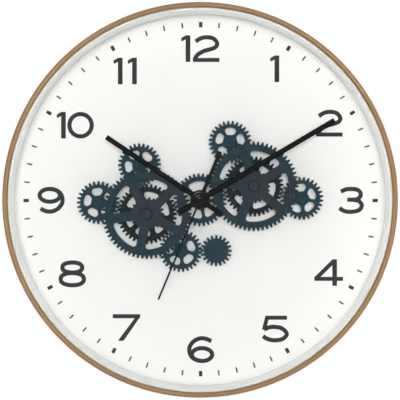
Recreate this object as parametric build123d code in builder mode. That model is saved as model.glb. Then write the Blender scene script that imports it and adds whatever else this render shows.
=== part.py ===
from build123d import *
from math import acos, cos, pi, radians, sin, tan
import os

# Wall clock: a bent wooden hoop with a deep white dial, and a train of open-spoked wheels that
# turns in front of the dial. A quartz movement drives the hands, and a small gear motor drives the
# train. The dial faces -Y, the wall is on +Y, and 12 o'clock is +Z. Heights are measured from the
# wall towards the viewer. The origin is the middle of the hoop, on the axis of the hands.

# Hoop, glass and dial
hoop_r = 200.0
hoop_wall = 4.0
front_round = 1.4
back_round = 0.8
lip_width = 5.3
lip_thickness = 3.0
glass_thickness = 3.0
ring_wall = 3.0
dial_thickness = 3.0
rear_room = 29.0
seat_gap = 0.2
fit_gap = 0.02
run_gap = 0.05

# Wooden cleats that hold the dial, and their screws
cleat_angles = (30, 150, 210, 270, 330)
cleat_length = 40.0
cleat_width = 14.0
cleat_depth = 14.0
screw_r = 1.5
screw_head_r = 3.2
screw_head_thickness = 1.6
screw_grip = 2.0
screw_clearance = 0.25
screw_recess_length = 3.6
screw_recess_width = 0.6
screw_recess_depth = 0.8

# Hanger at the top of the back
hanger_block_width = 64.0
hanger_block_height = 34.0
hanger_plate_inset = 3.0
hanger_plate_thickness = 2.0
hanger_plate_width = 58.0
hanger_plate_height = 26.0
hanger_plate_corner = 3.0
keyhole_r = 4.5
keyhole_slot_r = 2.2
keyhole_rise = 9.0
hanger_pocket_depth = 12.0
hanger_pocket_margin = 2.5
hanger_screw_spacing = 46.0
hanger_screw_length = 14.0

# Teeth of the open train
module = 1.5
pressure_angle = 20.0
head_ratio = 0.87
foot_ratio = 1.45
slack_ratio = 0.17
mesh_ease = 0.5

# Tooth counts of the open train
great_teeth = 60
middle_teeth = 40
rear_teeth = 22
centre_teeth = 35
small_teeth = 28
drive_teeth = 20

# Directions from wheel to wheel, in degrees anticlockwise from 3 o'clock
left_direction = 195.0
right_direction = 14.1
upper_left_direction = 98.6
outer_left_direction = 166.8
lower_left_direction = 312.7
upper_right_direction = 117.8
outer_right_direction = 346.0
drive_direction = 0.0
left_middle_phase = 0.27

# Heights of the open train, each piece above the one before
flange_height = 3.6
end_float = 0.3
rear_pinion_thickness = 3.0
rear_layer_gap = 2.0
wheel_thickness = 4.0
front_layer_gap = 3.0
hub_rise = 0.8
cap_thickness = 1.6
cap_roof = 0.7
cap_bevel = 0.4
boss_bevel = 0.4
great_cap_thickness = 2.2
hand_room = 3.5

# Posts, hubs and windows of the open train
stud_r = 2.0
flange_r = 6.0
cap_r = 3.6
great_cap_r = 4.8
sleeve_r = 6.0
shoulder_r = 10.0
small_boss_r = 5.6
great_spokes = 5
middle_spokes = 6
centre_spokes = 5
small_spokes = 5
centre_boss_r = 7.4
great_rim = 6.5
great_hub_r = 15.4
great_spoke_width = 9.6
great_corner_r = 3.0
left_great_spoke_angle = 43.5
right_great_spoke_angle = 32.0
middle_rim = 4.8
middle_hub_r = 14.5
middle_spoke_width = 5.7
middle_corner_r = 2.5
left_middle_spoke_angle = 47.5
right_middle_spoke_angle = 20.0
centre_rim = 4.7
centre_hub_r = 10.3
centre_spoke_width = 3.4
centre_corner_r = 2.4
centre_spoke_angle = 66.5
small_rim = 3.6
small_hub_r = 7.5
small_spoke_width = 3.4
small_corner_r = 3.2
upper_left_spoke_angle = 10.0
outer_left_spoke_angle = 61.0
lower_left_spoke_angle = 60.0
upper_right_spoke_angle = 52.0
outer_right_spoke_angle = 60.0

# Bush through the dial, and the tubes and arbor that carry the hands
bush_r = 4.0
bush_flange_r = 6.5
bush_flange_thickness = 0.8
tube_gap = 0.06
hour_tube_r = 2.82
minute_tube_r = 1.92
seconds_arbor_r = 0.7
washer_r = 9.0
washer_thickness = 0.8
nut_across_flats = 11.0
nut_thickness = 2.4
clip_r = 6.2
clip_thickness = 0.8

# Hands
minute_angle = 30.6
hour_angle = 146.2
second_angle = 247.3
minute_length = 159.6
minute_tail = 26.5
hour_length = 115.4
hour_tail = 27.2
hour_width = 5.2
minute_width = 5.3
hand_flat = 1.8
hand_edge = 0.6
hand_rise = 0.5
hub_thickness = 1.2
hand_hub_r = 8.0
hand_bevel = 0.5
hand_gap = 1.2
hand_nut_r = 5.0
hand_nut_thickness = 1.3
second_length = 110.2
second_tail = 53.3
needle_width = 1.9
tail_width = 3.8
needle_thickness = 0.6
second_hub_r = 2.4
second_hub_thickness = 2.4
arbor_hold = 1.6
glass_room = 6.0

# Fine teeth of the movement and the gear motor
fine_wheel_head = 0.5
fine_pinion_head = 1.0
fine_wheel_foot = 1.25
fine_pinion_foot = 0.8
fine_slack = 0.12
fine_ease = 0.1
pinion_margin = 0.3

# Quartz movement
case_wall = 1.6
hour_wheel_thickness = 1.6
motion_wheel_thickness = 1.4
fine_wheel_thickness = 1.0
level_gap = 0.6
motion_module = 0.5
cannon_teeth = 12
motion_teeth = 36
motion_pinion_teeth = 10
hour_teeth = 40
motion_direction = 180.0
knob_direction = 240.0
third_module = 0.3
seconds_pinion_teeth = 8
third_teeth = 60
third_pinion_teeth = 8
clutch_teeth = 64
third_direction = 300.0
seconds_module = 0.4
seconds_teeth = 40
stepper_pinion_teeth = 8
stepper_direction = 45.0
rotor_module = 0.25
stepper_teeth = 48
rotor_pinion_teeth = 8
rotor_direction = 0.0
motion_post_r = 1.0
train_post_r = 0.6
rotor_post_r = 0.4
magnet_r = 2.5
magnet_thickness = 2.2
stator_thickness = 0.8
stator_hole_gap = 0.5
stator_gap = 0.5
stand_r = 0.7
stator_stand = 0.8
coil_length = 13.0
coil_width = 7.0
coil_height = 4.6
coil_flange = 1.0
coil_flange_rise = 0.7
core_width = 4.0
board_width = 15.0
board_height = 10.0
board_thickness = 0.8
crystal_r = 1.0
crystal_length = 6.0
knob_r = 5.5
knob_thickness = 4.5
knob_arbor_r = 1.0
knob_flutes = 18
flute_r = 0.55
bay_gap = 0.7

# Round cells and their contacts, one pair for the movement and one for the motor
cell_r = 7.25
cell_length = 49.3
nub_r = 2.75
nub_length = 1.2
cell_gap = 0.3
contact_thickness = 0.5
contact_width = 9.0
leaf_r = 3.0
leaf_rise = 1.5

# Gear motor
motor_wall = 1.8
motor_module = 0.5
output_teeth = 40
reduction_pinion_teeth = 10
reduction_teeth = 40
motor_pinion_teeth = 10
reduction_direction = 180.0
motor_direction = 150.0
output_wheel_thickness = 2.0
reduction_wheel_thickness = 1.8
motor_level_gap = 0.6
snout_r = 5.0
can_r = 6.0
can_length = 8.0
can_cup_wall = 1.1
can_cup_depth = 3.0
motor_shaft_r = 0.8
motor_shaft_seat = 5.0
reduction_post_r = 1.0
cover_screw_r = 1.0
cover_screw_head_r = 1.9
cover_screw_head_thickness = 1.0
cover_screw_length = 5.0
cover_screw_inset = 3.2
cover_recess_length = 2.4
cover_recess_width = 0.4
cover_recess_depth = 0.5

# Heights worked out from the wall forwards
dial_back_h = rear_room
dial_face_h = dial_back_h + dial_thickness
wheel_seat_h = dial_face_h + flange_height
rear_h = wheel_seat_h + end_float
mesh_h = rear_h + rear_pinion_thickness + rear_layer_gap
mesh_top_h = mesh_h + wheel_thickness
front_h = mesh_top_h + front_layer_gap
front_top_h = front_h + wheel_thickness
small_cap_h = mesh_top_h + hub_rise + end_float
great_cap_h = front_top_h + hub_rise + end_float
hour_hand_h = great_cap_h + great_cap_thickness + hand_room - hub_thickness
minute_hand_h = hour_hand_h + hub_thickness + hand_gap
hand_nut_h = minute_hand_h + hub_thickness
second_hand_h = hand_nut_h + hand_nut_thickness + hand_gap
second_top_h = second_hand_h + second_hub_thickness
glass_back_h = second_top_h + glass_room
lip_back_h = glass_back_h + glass_thickness
hoop_depth = lip_back_h + lip_thickness

# Radii worked out from the hoop inwards
hoop_bore_r = hoop_r - hoop_wall
lip_r = hoop_r - lip_width
inner_seat_r = hoop_bore_r - seat_gap


def front_plane(height, at=(0.0, 0.0)):
    """A plane that faces the viewer at a height above the wall, centred on an axis at (x, z)."""
    origin = (at[0], hoop_depth / 2 - height, at[1])
    return Plane(origin=origin, x_dir=(1, 0, 0), z_dir=(0, -1, 0))


def along_plane(height, angle, start):
    """A plane square to a hand, with its x across the hand and its y towards the viewer."""
    turn = radians(angle)
    origin = (start * cos(turn), hoop_depth / 2 - height, start * sin(turn))
    return Plane(origin=origin, x_dir=(-sin(turn), 0, cos(turn)), z_dir=(cos(turn), 0, sin(turn)))


def polar(radius, angle):
    """The point at a radius and an angle in radians."""
    return (radius * cos(angle), radius * sin(angle))


def step(start, direction, distance):
    """The point at a distance from a start, in a direction in degrees."""
    x, z = polar(distance, radians(direction))
    return (start[0] + x, start[1] + z)


def meshed_phase(phase, teeth, direction, other_teeth):
    """The phase that puts a gap of the other wheel opposite a tooth of the first."""
    return direction + 180 - (phase - direction) * teeth / other_teeth + 180 / other_teeth


def fine_span(teeth, other_teeth):
    """The distance between the axes of two fine wheels, in modules."""
    return (teeth + other_teeth) / 2 + fine_ease


def involute(angle):
    """The involute function of an angle in radians."""
    return tan(angle) - angle


def toothed_face(teeth, size, head, foot, slack, phase):
    """A toothed disc with the middle of a tooth at the phase angle.

    The head, the foot and the slack are in modules. Each flank is an arc through three points of
    the involute, and runs straight down to the root below the base circle.
    """
    pitch_r = teeth * size / 2
    base_r = pitch_r * cos(radians(pressure_angle))
    tip_r = pitch_r + head * size
    root_r = pitch_r - foot * size
    start_r = max(root_r, base_r)
    middle_r = (start_r + tip_r) / 2
    sunk_r = root_r - slack * size
    half_at_pitch = (pi / 2 - slack) * size / (2 * pitch_r)

    def half_angle(radius):
        roll = involute(radians(pressure_angle)) - involute(acos(min(1.0, base_r / radius)))
        return half_at_pitch + roll

    foot_angle = half_angle(start_r)
    rise = [polar(radius, -half_angle(radius)) for radius in (start_r, middle_r, tip_r)]
    fall = [polar(radius, half_angle(radius)) for radius in (tip_r, middle_r, start_r)]
    with BuildSketch() as tooth:
        with BuildLine():
            ThreePointArc(*rise)
            ThreePointArc(rise[-1], (tip_r, 0), fall[0])
            ThreePointArc(*fall)
            Polyline(fall[-1], polar(sunk_r, foot_angle), polar(sunk_r, -foot_angle), rise[0])
        make_face()
    with BuildSketch() as face:
        Circle(root_r)
        with PolarLocations(0, teeth, phase):
            add(tooth.sketch)
    return face.sketch


def train_face(teeth, phase):
    """The toothed disc of a wheel of the open train."""
    return toothed_face(teeth, module, head_ratio, foot_ratio, slack_ratio, phase)


def fine_wheel_face(teeth, size, phase):
    """The toothed disc of a fine wheel, with short teeth that clear a small pinion."""
    return toothed_face(teeth, size, fine_wheel_head, fine_wheel_foot, fine_slack, phase)


def fine_pinion_face(teeth, size, phase):
    """The toothed disc of a fine pinion, with long heads and shallow feet."""
    return toothed_face(teeth, size, fine_pinion_head, fine_pinion_foot, fine_slack, phase)


def fine_wheel_r(teeth, size):
    """The tip radius of a fine wheel."""
    return (teeth / 2 + fine_wheel_head) * size


def fine_pinion_r(teeth, size):
    """The tip radius of a fine pinion."""
    return (teeth / 2 + fine_pinion_head) * size


def window_faces(count, inner_r, outer_r, spoke_width, corner_r, spoke_angle):
    """The windows between the spokes of a wheel, with rounded corners."""
    with BuildSketch() as windows:
        Circle(outer_r)
        Circle(inner_r, mode=Mode.SUBTRACT)
        with PolarLocations((inner_r + outer_r) / 2, count, spoke_angle):
            Rectangle(2 * (outer_r - inner_r), spoke_width, mode=Mode.SUBTRACT)
        fillet(windows.vertices(), radius=corner_r)
    return windows.sketch


def windows_of(teeth, rim, hub_r, count, spoke_width, corner_r, spoke_angle):
    """The windows of a wheel of the open train, inside its rim."""
    outer_r = (teeth / 2 - foot_ratio) * module - rim
    return window_faces(count, hub_r, outer_r, spoke_width, corner_r, spoke_angle)


def pan_screws(axes, seat_h, shank, head, recess):
    """Screws driven from the back, with their heads on a seat and a cross recess in each head."""
    shank_r, shank_length = shank
    head_r, head_thickness = head
    recess_length, recess_width, recess_depth = recess
    with BuildPart() as screws:
        with BuildSketch(front_plane(seat_h - head_thickness)):
            with Locations(*axes):
                Circle(head_r)
        extrude(amount=head_thickness)
        with BuildSketch(front_plane(seat_h)):
            with Locations(*axes):
                Circle(shank_r)
        extrude(amount=shank_length)
        with BuildSketch(front_plane(seat_h - head_thickness)):
            with Locations(*axes):
                Rectangle(recess_length, recess_width)
                Rectangle(recess_width, recess_length)
        extrude(amount=recess_depth, mode=Mode.SUBTRACT)
    return screws


def bevelled_disc(height, axis, radius, thickness, bevel):
    """A disc on an axis, with a bevel round its front edge."""
    with BuildPart() as disc:
        with BuildSketch(front_plane(height, axis)):
            Circle(radius)
        extrude(amount=thickness)
        chamfer(disc.faces().sort_by(Axis.Y)[0].edges(), length=bevel)
    return disc.part


def finish(builder, name):
    """Labels a finished piece and writes it."""
    builder.part.label = name
    export_step(builder.part, f"parts/{name}.step")


os.makedirs("parts", exist_ok=True)

# Axes of the open train, as (x, z)
centre_axis = (0.0, 0.0)
middle_reach = (middle_teeth + centre_teeth) * module / 2 + mesh_ease
small_reach = (middle_teeth + small_teeth) * module / 2 + mesh_ease
drive_reach = (small_teeth + drive_teeth) * module / 2 + mesh_ease
left_axis = step(centre_axis, left_direction, middle_reach)
right_axis = step(centre_axis, right_direction, middle_reach)
lower_left_axis = step(left_axis, lower_left_direction, small_reach)
drive_axis = step(lower_left_axis, drive_direction, drive_reach)

# Rest phases of the open train, each wheel in mesh with the one before
centre_phase = meshed_phase(left_middle_phase, middle_teeth, left_direction + 180, centre_teeth)
right_middle_phase = meshed_phase(centre_phase, centre_teeth, right_direction, middle_teeth)
lower_left_phase = meshed_phase(left_middle_phase, middle_teeth, lower_left_direction, small_teeth)
drive_phase = meshed_phase(lower_left_phase, small_teeth, drive_direction, drive_teeth)

# Small wheels: name, axis, phase, spoke angle
small_wheels = []
for name, from_axis, from_phase, direction, spoke_angle in (
    ("upper_left_wheel", left_axis, left_middle_phase, upper_left_direction, upper_left_spoke_angle),
    ("outer_left_wheel", left_axis, left_middle_phase, outer_left_direction, outer_left_spoke_angle),
    ("lower_left_wheel", left_axis, left_middle_phase, lower_left_direction, lower_left_spoke_angle),
    ("upper_right_wheel", right_axis, right_middle_phase, upper_right_direction, upper_right_spoke_angle),
    ("outer_right_wheel", right_axis, right_middle_phase, outer_right_direction, outer_right_spoke_angle),
):
    axis = step(from_axis, direction, small_reach)
    phase = meshed_phase(from_phase, middle_teeth, direction, small_teeth)
    small_wheels.append((name, axis, phase, spoke_angle))
small_axes = [axis for name, axis, phase, spoke_angle in small_wheels]
great_axes = [left_axis, right_axis]

# Wooden hoop with a front lip
with BuildPart() as wood_hoop:
    with BuildSketch(front_plane(0)):
        Circle(hoop_r)
        Circle(hoop_bore_r, mode=Mode.SUBTRACT)
    extrude(amount=hoop_depth)
    with BuildSketch(front_plane(lip_back_h)):
        Circle(hoop_r)
        Circle(lip_r, mode=Mode.SUBTRACT)
    extrude(amount=lip_thickness)
    fillet(wood_hoop.faces().sort_by(Axis.Y)[0].edges(), radius=front_round)
    fillet(wood_hoop.faces().sort_by(Axis.Y)[-1].edges(), radius=back_round)
finish(wood_hoop, "wood_hoop")

# Front glass behind the lip
with BuildPart() as front_glass:
    with BuildSketch(front_plane(glass_back_h)):
        Circle(inner_seat_r)
    extrude(amount=glass_thickness)
finish(front_glass, "front_glass")

# White ring that lines the hoop between the dial and the glass
with BuildPart() as spacer_ring:
    with BuildSketch(front_plane(dial_face_h)):
        Circle(inner_seat_r)
        Circle(inner_seat_r - ring_wall, mode=Mode.SUBTRACT)
    extrude(amount=glass_back_h - dial_face_h)
finish(spacer_ring, "spacer_ring")

# Dial board with holes for the bush, the posts, the motor's snout and the cleats' screws
cleat_middle_r = inner_seat_r - cleat_width / 2
cleat_axes = [step(centre_axis, angle, cleat_middle_r - seat_gap) for angle in cleat_angles]
block_low_z = inner_seat_r - hanger_block_height
with BuildPart() as dial_board:
    with BuildSketch(front_plane(dial_back_h)):
        Circle(inner_seat_r)
        Circle(bush_r + seat_gap, mode=Mode.SUBTRACT)
        with Locations(*small_axes, *great_axes):
            Circle(stud_r + fit_gap, mode=Mode.SUBTRACT)
        with Locations(drive_axis):
            Circle(snout_r + seat_gap, mode=Mode.SUBTRACT)
    extrude(amount=dial_thickness)
    with BuildSketch(front_plane(dial_back_h)):
        with Locations(*cleat_axes):
            Circle(screw_r + fit_gap)
    extrude(amount=screw_grip, mode=Mode.SUBTRACT)
finish(dial_board, "dial_board")

# Cleats glued to the hoop behind the dial
with BuildPart() as dial_cleats:
    with BuildSketch(front_plane(dial_back_h - cleat_depth)):
        for angle, axis in zip(cleat_angles, cleat_axes):
            with Locations(Location((*step(centre_axis, angle, cleat_middle_r), 0), angle)):
                Rectangle(cleat_width, cleat_length)
        Circle(inner_seat_r, mode=Mode.INTERSECT)
        with Locations(*cleat_axes):
            Circle(screw_r + screw_clearance, mode=Mode.SUBTRACT)
    extrude(amount=cleat_depth)
finish(dial_cleats, "dial_cleats")

# Screws through the cleats into the dial
cleat_screws = pan_screws(
    cleat_axes,
    dial_back_h - cleat_depth,
    (screw_r, cleat_depth + screw_grip),
    (screw_head_r, screw_head_thickness),
    (screw_recess_length, screw_recess_width, screw_recess_depth),
)
finish(cleat_screws, "cleat_screws")

# Hanger block glued to the hoop and the dial, with a pocket for the head of the wall screw
plate_front_h = hanger_plate_inset + hanger_plate_thickness
plate_z = block_low_z + hanger_block_height / 2 - hanger_pocket_margin
keyhole_z = plate_z - keyhole_rise / 2
hanger_screw_axes = [(side * hanger_screw_spacing / 2, plate_z) for side in (-1, 1)]
pocket_width = 2 * (keyhole_r + hanger_pocket_margin)
pocket_height = keyhole_rise + keyhole_r + keyhole_slot_r + 2 * hanger_pocket_margin
pocket_z = keyhole_z + (keyhole_rise + keyhole_slot_r - keyhole_r) / 2
with BuildPart() as hanger_block:
    with BuildSketch(front_plane(plate_front_h)):
        with Locations((0, block_low_z + hanger_block_height / 2)):
            Rectangle(hanger_block_width, hanger_block_height)
        Circle(inner_seat_r, mode=Mode.INTERSECT)
    extrude(amount=dial_back_h - plate_front_h)
    with BuildSketch(front_plane(plate_front_h)):
        with Locations((0, pocket_z)):
            RectangleRounded(pocket_width, pocket_height, hanger_pocket_margin)
    extrude(amount=hanger_pocket_depth, mode=Mode.SUBTRACT)
    with BuildSketch(front_plane(plate_front_h)):
        with Locations(*hanger_screw_axes):
            Circle(screw_r + fit_gap)
    extrude(amount=hanger_screw_length, mode=Mode.SUBTRACT)
finish(hanger_block, "hanger_block")

# Steel plate with a keyhole for the wall screw
with BuildPart() as hanger_plate:
    with BuildSketch(front_plane(hanger_plate_inset)):
        with Locations((0, plate_z)):
            RectangleRounded(hanger_plate_width, hanger_plate_height, hanger_plate_corner)
        with Locations((0, keyhole_z)):
            Circle(keyhole_r, mode=Mode.SUBTRACT)
        with Locations((0, keyhole_z + keyhole_rise / 2)):
            Rectangle(2 * keyhole_slot_r, keyhole_rise, mode=Mode.SUBTRACT)
        with Locations((0, keyhole_z + keyhole_rise)):
            Circle(keyhole_slot_r, mode=Mode.SUBTRACT)
        with Locations(*hanger_screw_axes):
            Circle(screw_r + screw_clearance, mode=Mode.SUBTRACT)
    extrude(amount=hanger_plate_thickness)
finish(hanger_plate, "hanger_plate")

# Screws that hold the hanger plate
hanger_screws = pan_screws(
    hanger_screw_axes,
    hanger_plate_inset,
    (screw_r, hanger_plate_thickness + hanger_screw_length),
    (screw_head_r, screw_head_thickness),
    (screw_recess_length, screw_recess_width, screw_recess_depth),
)
finish(hanger_screws, "hanger_screws")

# Posts pressed into the dial, with a flange under each wheel
small_cap_top_h = small_cap_h + cap_thickness
great_cap_top_h = great_cap_h + great_cap_thickness
with BuildPart() as wheel_posts:
    with BuildSketch(front_plane(dial_face_h)):
        with Locations(*small_axes, *great_axes):
            Circle(flange_r)
    extrude(amount=flange_height)
    with BuildSketch(front_plane(dial_back_h)):
        with Locations(*small_axes):
            Circle(stud_r)
    extrude(amount=small_cap_top_h - cap_roof - dial_back_h)
    with BuildSketch(front_plane(dial_back_h)):
        with Locations(*great_axes):
            Circle(stud_r)
    extrude(amount=great_cap_top_h - cap_roof - dial_back_h)
finish(wheel_posts, "wheel_posts")

# Caps pushed on to the posts
with BuildPart() as post_caps:
    for axis in small_axes:
        add(bevelled_disc(small_cap_h, axis, cap_r, cap_thickness, cap_bevel))
    for axis in great_axes:
        add(bevelled_disc(great_cap_h, axis, great_cap_r, great_cap_thickness, cap_bevel))
    with BuildSketch(front_plane(small_cap_h)):
        with Locations(*small_axes):
            Circle(stud_r + fit_gap)
    extrude(amount=cap_thickness - cap_roof, mode=Mode.SUBTRACT)
    with BuildSketch(front_plane(great_cap_h)):
        with Locations(*great_axes):
            Circle(stud_r + fit_gap)
    extrude(amount=great_cap_thickness - cap_roof, mode=Mode.SUBTRACT)
finish(post_caps, "post_caps")

# Great wheel, middle wheel and rear pinion on each side, pressed together on the pinion's sleeve
for side, axis, middle_phase, great_spoke_angle, middle_spoke_angle in (
    ("left", left_axis, left_middle_phase, left_great_spoke_angle, left_middle_spoke_angle),
    ("right", right_axis, right_middle_phase, right_great_spoke_angle, right_middle_spoke_angle),
):
    with BuildPart() as rear_pinion:
        with BuildSketch(front_plane(rear_h, axis)):
            add(train_face(rear_teeth, middle_phase))
        extrude(amount=rear_pinion_thickness)
        with BuildSketch(front_plane(rear_h, axis)):
            Circle(shoulder_r)
        extrude(amount=mesh_h - rear_h)
        add(bevelled_disc(rear_h, axis, sleeve_r, front_top_h + hub_rise - rear_h, boss_bevel))
        with BuildSketch(front_plane(rear_h, axis)):
            Circle(stud_r + run_gap)
        extrude(amount=front_top_h + hub_rise - rear_h, mode=Mode.SUBTRACT)
    finish(rear_pinion, f"{side}_rear_pinion")

    middle_windows = windows_of(
        middle_teeth,
        middle_rim,
        middle_hub_r,
        middle_spokes,
        middle_spoke_width,
        middle_corner_r,
        middle_spoke_angle,
    )
    with BuildPart() as middle_wheel:
        with BuildSketch(front_plane(mesh_h, axis)):
            add(train_face(middle_teeth, middle_phase))
            add(middle_windows, mode=Mode.SUBTRACT)
        extrude(amount=wheel_thickness)
        with BuildSketch(front_plane(mesh_h, axis)):
            Circle(shoulder_r)
        extrude(amount=front_h - mesh_h)
        with BuildSketch(front_plane(mesh_h, axis)):
            Circle(sleeve_r + fit_gap)
        extrude(amount=front_h - mesh_h, mode=Mode.SUBTRACT)
    finish(middle_wheel, f"{side}_middle_wheel")

    great_windows = windows_of(
        great_teeth,
        great_rim,
        great_hub_r,
        great_spokes,
        great_spoke_width,
        great_corner_r,
        great_spoke_angle,
    )
    with BuildPart() as great_wheel:
        with BuildSketch(front_plane(front_h, axis)):
            add(train_face(great_teeth, middle_phase))
            add(great_windows, mode=Mode.SUBTRACT)
            Circle(sleeve_r + fit_gap, mode=Mode.SUBTRACT)
        extrude(amount=wheel_thickness)
    finish(great_wheel, f"{side}_great_wheel")

# Five small wheels, each with a long boss on its post
for name, axis, phase, spoke_angle in small_wheels:
    small_windows = windows_of(
        small_teeth, small_rim, small_hub_r, small_spokes, small_spoke_width, small_corner_r, spoke_angle
    )
    with BuildPart() as small_wheel:
        with BuildSketch(front_plane(mesh_h, axis)):
            add(train_face(small_teeth, phase))
            add(small_windows, mode=Mode.SUBTRACT)
        extrude(amount=wheel_thickness)
        add(bevelled_disc(rear_h, axis, small_boss_r, mesh_top_h + hub_rise - rear_h, boss_bevel))
        with BuildSketch(front_plane(rear_h, axis)):
            Circle(stud_r + run_gap)
        extrude(amount=mesh_top_h + hub_rise - rear_h, mode=Mode.SUBTRACT)
    finish(small_wheel, name)

# Centre wheel, which turns on the bush
centre_windows = windows_of(
    centre_teeth,
    centre_rim,
    centre_hub_r,
    centre_spokes,
    centre_spoke_width,
    centre_corner_r,
    centre_spoke_angle,
)
with BuildPart() as centre_wheel:
    with BuildSketch(front_plane(mesh_h)):
        add(train_face(centre_teeth, centre_phase))
        add(centre_windows, mode=Mode.SUBTRACT)
    extrude(amount=wheel_thickness)
    add(bevelled_disc(rear_h, centre_axis, centre_boss_r, mesh_top_h + hub_rise - rear_h, boss_bevel))
    with BuildSketch(front_plane(rear_h)):
        Circle(bush_r + run_gap)
    extrude(amount=mesh_top_h + hub_rise - rear_h, mode=Mode.SUBTRACT)
finish(centre_wheel, "centre_wheel")

# Drive pinion, pressed on the motor's output shaft
with BuildPart() as drive_pinion:
    with BuildSketch(front_plane(mesh_h, drive_axis)):
        add(train_face(drive_teeth, drive_phase))
    extrude(amount=wheel_thickness)
    add(bevelled_disc(rear_h, drive_axis, small_boss_r, mesh_top_h + hub_rise - rear_h, boss_bevel))
    with BuildSketch(front_plane(rear_h, drive_axis)):
        Circle(stud_r + fit_gap)
    extrude(amount=mesh_top_h - rear_h, mode=Mode.SUBTRACT)
finish(drive_pinion, "drive_pinion")

# Levels of the movement, from the inside of its front wall backwards
movement_inner_h = dial_back_h - case_wall
hour_wheel_h = movement_inner_h - bush_flange_thickness - level_gap - hour_wheel_thickness
motion_wheel_h = hour_wheel_h - pinion_margin - level_gap - motion_wheel_thickness
clutch_h = motion_wheel_h - pinion_margin - level_gap - fine_wheel_thickness
third_h = clutch_h - pinion_margin - level_gap - fine_wheel_thickness
seconds_h = third_h - pinion_margin - level_gap - fine_wheel_thickness
magnet_h = seconds_h - magnet_thickness / 2 - pinion_margin
stator_h = magnet_h + (magnet_thickness - stator_thickness) / 2
movement_cover_h = stator_h - stator_stand
movement_back_h = movement_cover_h - case_wall

# Axes of the movement, as (x, z)
motion_reach = motion_module * fine_span(cannon_teeth, motion_teeth)
hour_module = motion_reach / fine_span(motion_pinion_teeth, hour_teeth)
third_reach = third_module * fine_span(seconds_pinion_teeth, third_teeth)
clutch_module = third_reach / fine_span(third_pinion_teeth, clutch_teeth)
stepper_reach = seconds_module * fine_span(stepper_pinion_teeth, seconds_teeth)
rotor_reach = rotor_module * fine_span(rotor_pinion_teeth, stepper_teeth)
motion_axis = step(centre_axis, motion_direction, motion_reach)
knob_axis = step(motion_axis, knob_direction, motion_reach)
third_axis = step(centre_axis, third_direction, third_reach)
stepper_axis = step(centre_axis, stepper_direction, stepper_reach)
rotor_axis = step(stepper_axis, rotor_direction, rotor_reach)

# Rest phases of the movement's wheels, each in mesh with the one before
motion_phase = meshed_phase(0.0, cannon_teeth, motion_direction, motion_teeth)
knob_phase = meshed_phase(motion_phase, motion_teeth, knob_direction, cannon_teeth)
hour_phase = meshed_phase(0.0, motion_pinion_teeth, motion_direction + 180, hour_teeth)
third_phase = meshed_phase(0.0, seconds_pinion_teeth, third_direction, third_teeth)
clutch_phase = meshed_phase(0.0, third_pinion_teeth, third_direction + 180, clutch_teeth)
stepper_pinion_phase = meshed_phase(0.0, seconds_teeth, stepper_direction, stepper_pinion_teeth)
rotor_phase = meshed_phase(0.0, stepper_teeth, rotor_direction, rotor_pinion_teeth)

# Room that the movement's wheels, coil and board need inside the case
stator_hole_r = magnet_r + stator_hole_gap
stator_end_r = rotor_reach - fine_pinion_r(stepper_pinion_teeth, seconds_module) - stator_gap
third_tip_r = fine_wheel_r(third_teeth, third_module)
coil_half = coil_width / 2 + coil_flange_rise
core_x = max(rotor_axis[0] + stator_end_r, third_axis[0] + third_tip_r + bay_gap) + coil_half
coil_middle_z = rotor_axis[1] - stator_end_r - coil_length / 2
wheel_rooms = [
    (centre_axis, fine_wheel_r(hour_teeth, hour_module)),
    (motion_axis, fine_wheel_r(motion_teeth, motion_module)),
    (knob_axis, fine_pinion_r(cannon_teeth, motion_module)),
    (third_axis, third_tip_r),
    (stepper_axis, fine_wheel_r(stepper_teeth, rotor_module)),
    (rotor_axis, stator_end_r),
    ((core_x, coil_middle_z), coil_length / 2 + core_width),
    ((core_x, rotor_axis[1]), coil_half),
]
bay_left = min(axis[0] - room for axis, room in wheel_rooms) - bay_gap
bay_right = max(axis[0] + room for axis, room in wheel_rooms) + bay_gap
bay_low = min(axis[1] - room for axis, room in wheel_rooms) - bay_gap
bay_high = max(axis[1] + room for axis, room in wheel_rooms) + bay_gap

# Cell bay above the wheels of the movement
cell_bay_length = cell_length + nub_length + 2 * contact_thickness + leaf_rise + cell_gap
cell_bay_width = 2 * (cell_r + cell_gap)
bay_left = min(bay_left, (bay_left + bay_right - cell_bay_length) / 2)
bay_right = max(bay_right, bay_left + cell_bay_length)
bay_middle = (bay_left + bay_right) / 2
cell_z = bay_high + case_wall + cell_bay_width / 2
movement_cell_h = movement_inner_h - cell_gap - cell_r
case_left = bay_left - case_wall
case_right = bay_right + case_wall
case_low = bay_low - case_wall
case_high = cell_z + cell_bay_width / 2 + case_wall
cover_high = bay_high + case_wall


def block(left, right, low, high):
    """A rectangle between two corners, in the sketch's own x and y."""
    with BuildSketch() as face:
        with Locations(((left + right) / 2, (low + high) / 2)):
            Rectangle(right - left, high - low)
    return face.sketch


# Movement case, open at the back
with BuildPart() as movement_case:
    with BuildSketch(front_plane(movement_cover_h)):
        add(block(case_left, case_right, case_low, cover_high))
    extrude(amount=dial_back_h - movement_cover_h)
    with BuildSketch(front_plane(movement_back_h)):
        add(block(case_left, case_right, cover_high, case_high))
    extrude(amount=dial_back_h - movement_back_h)
    with BuildSketch(front_plane(movement_cover_h)):
        add(block(bay_left, bay_right, bay_low, bay_high))
    extrude(amount=movement_inner_h - movement_cover_h, mode=Mode.SUBTRACT)
    with BuildSketch(front_plane(movement_back_h)):
        add(block(bay_left, bay_right, cover_high, case_high - case_wall))
    extrude(amount=movement_inner_h - movement_back_h, mode=Mode.SUBTRACT)
    with BuildSketch(front_plane(motion_wheel_h - pinion_margin, motion_axis)):
        Circle(motion_post_r)
    extrude(amount=movement_inner_h - motion_wheel_h + pinion_margin)
    with BuildSketch(front_plane(movement_inner_h)):
        Circle(bush_r + seat_gap)
    extrude(amount=case_wall, mode=Mode.SUBTRACT)
finish(movement_case, "movement_case")

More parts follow.
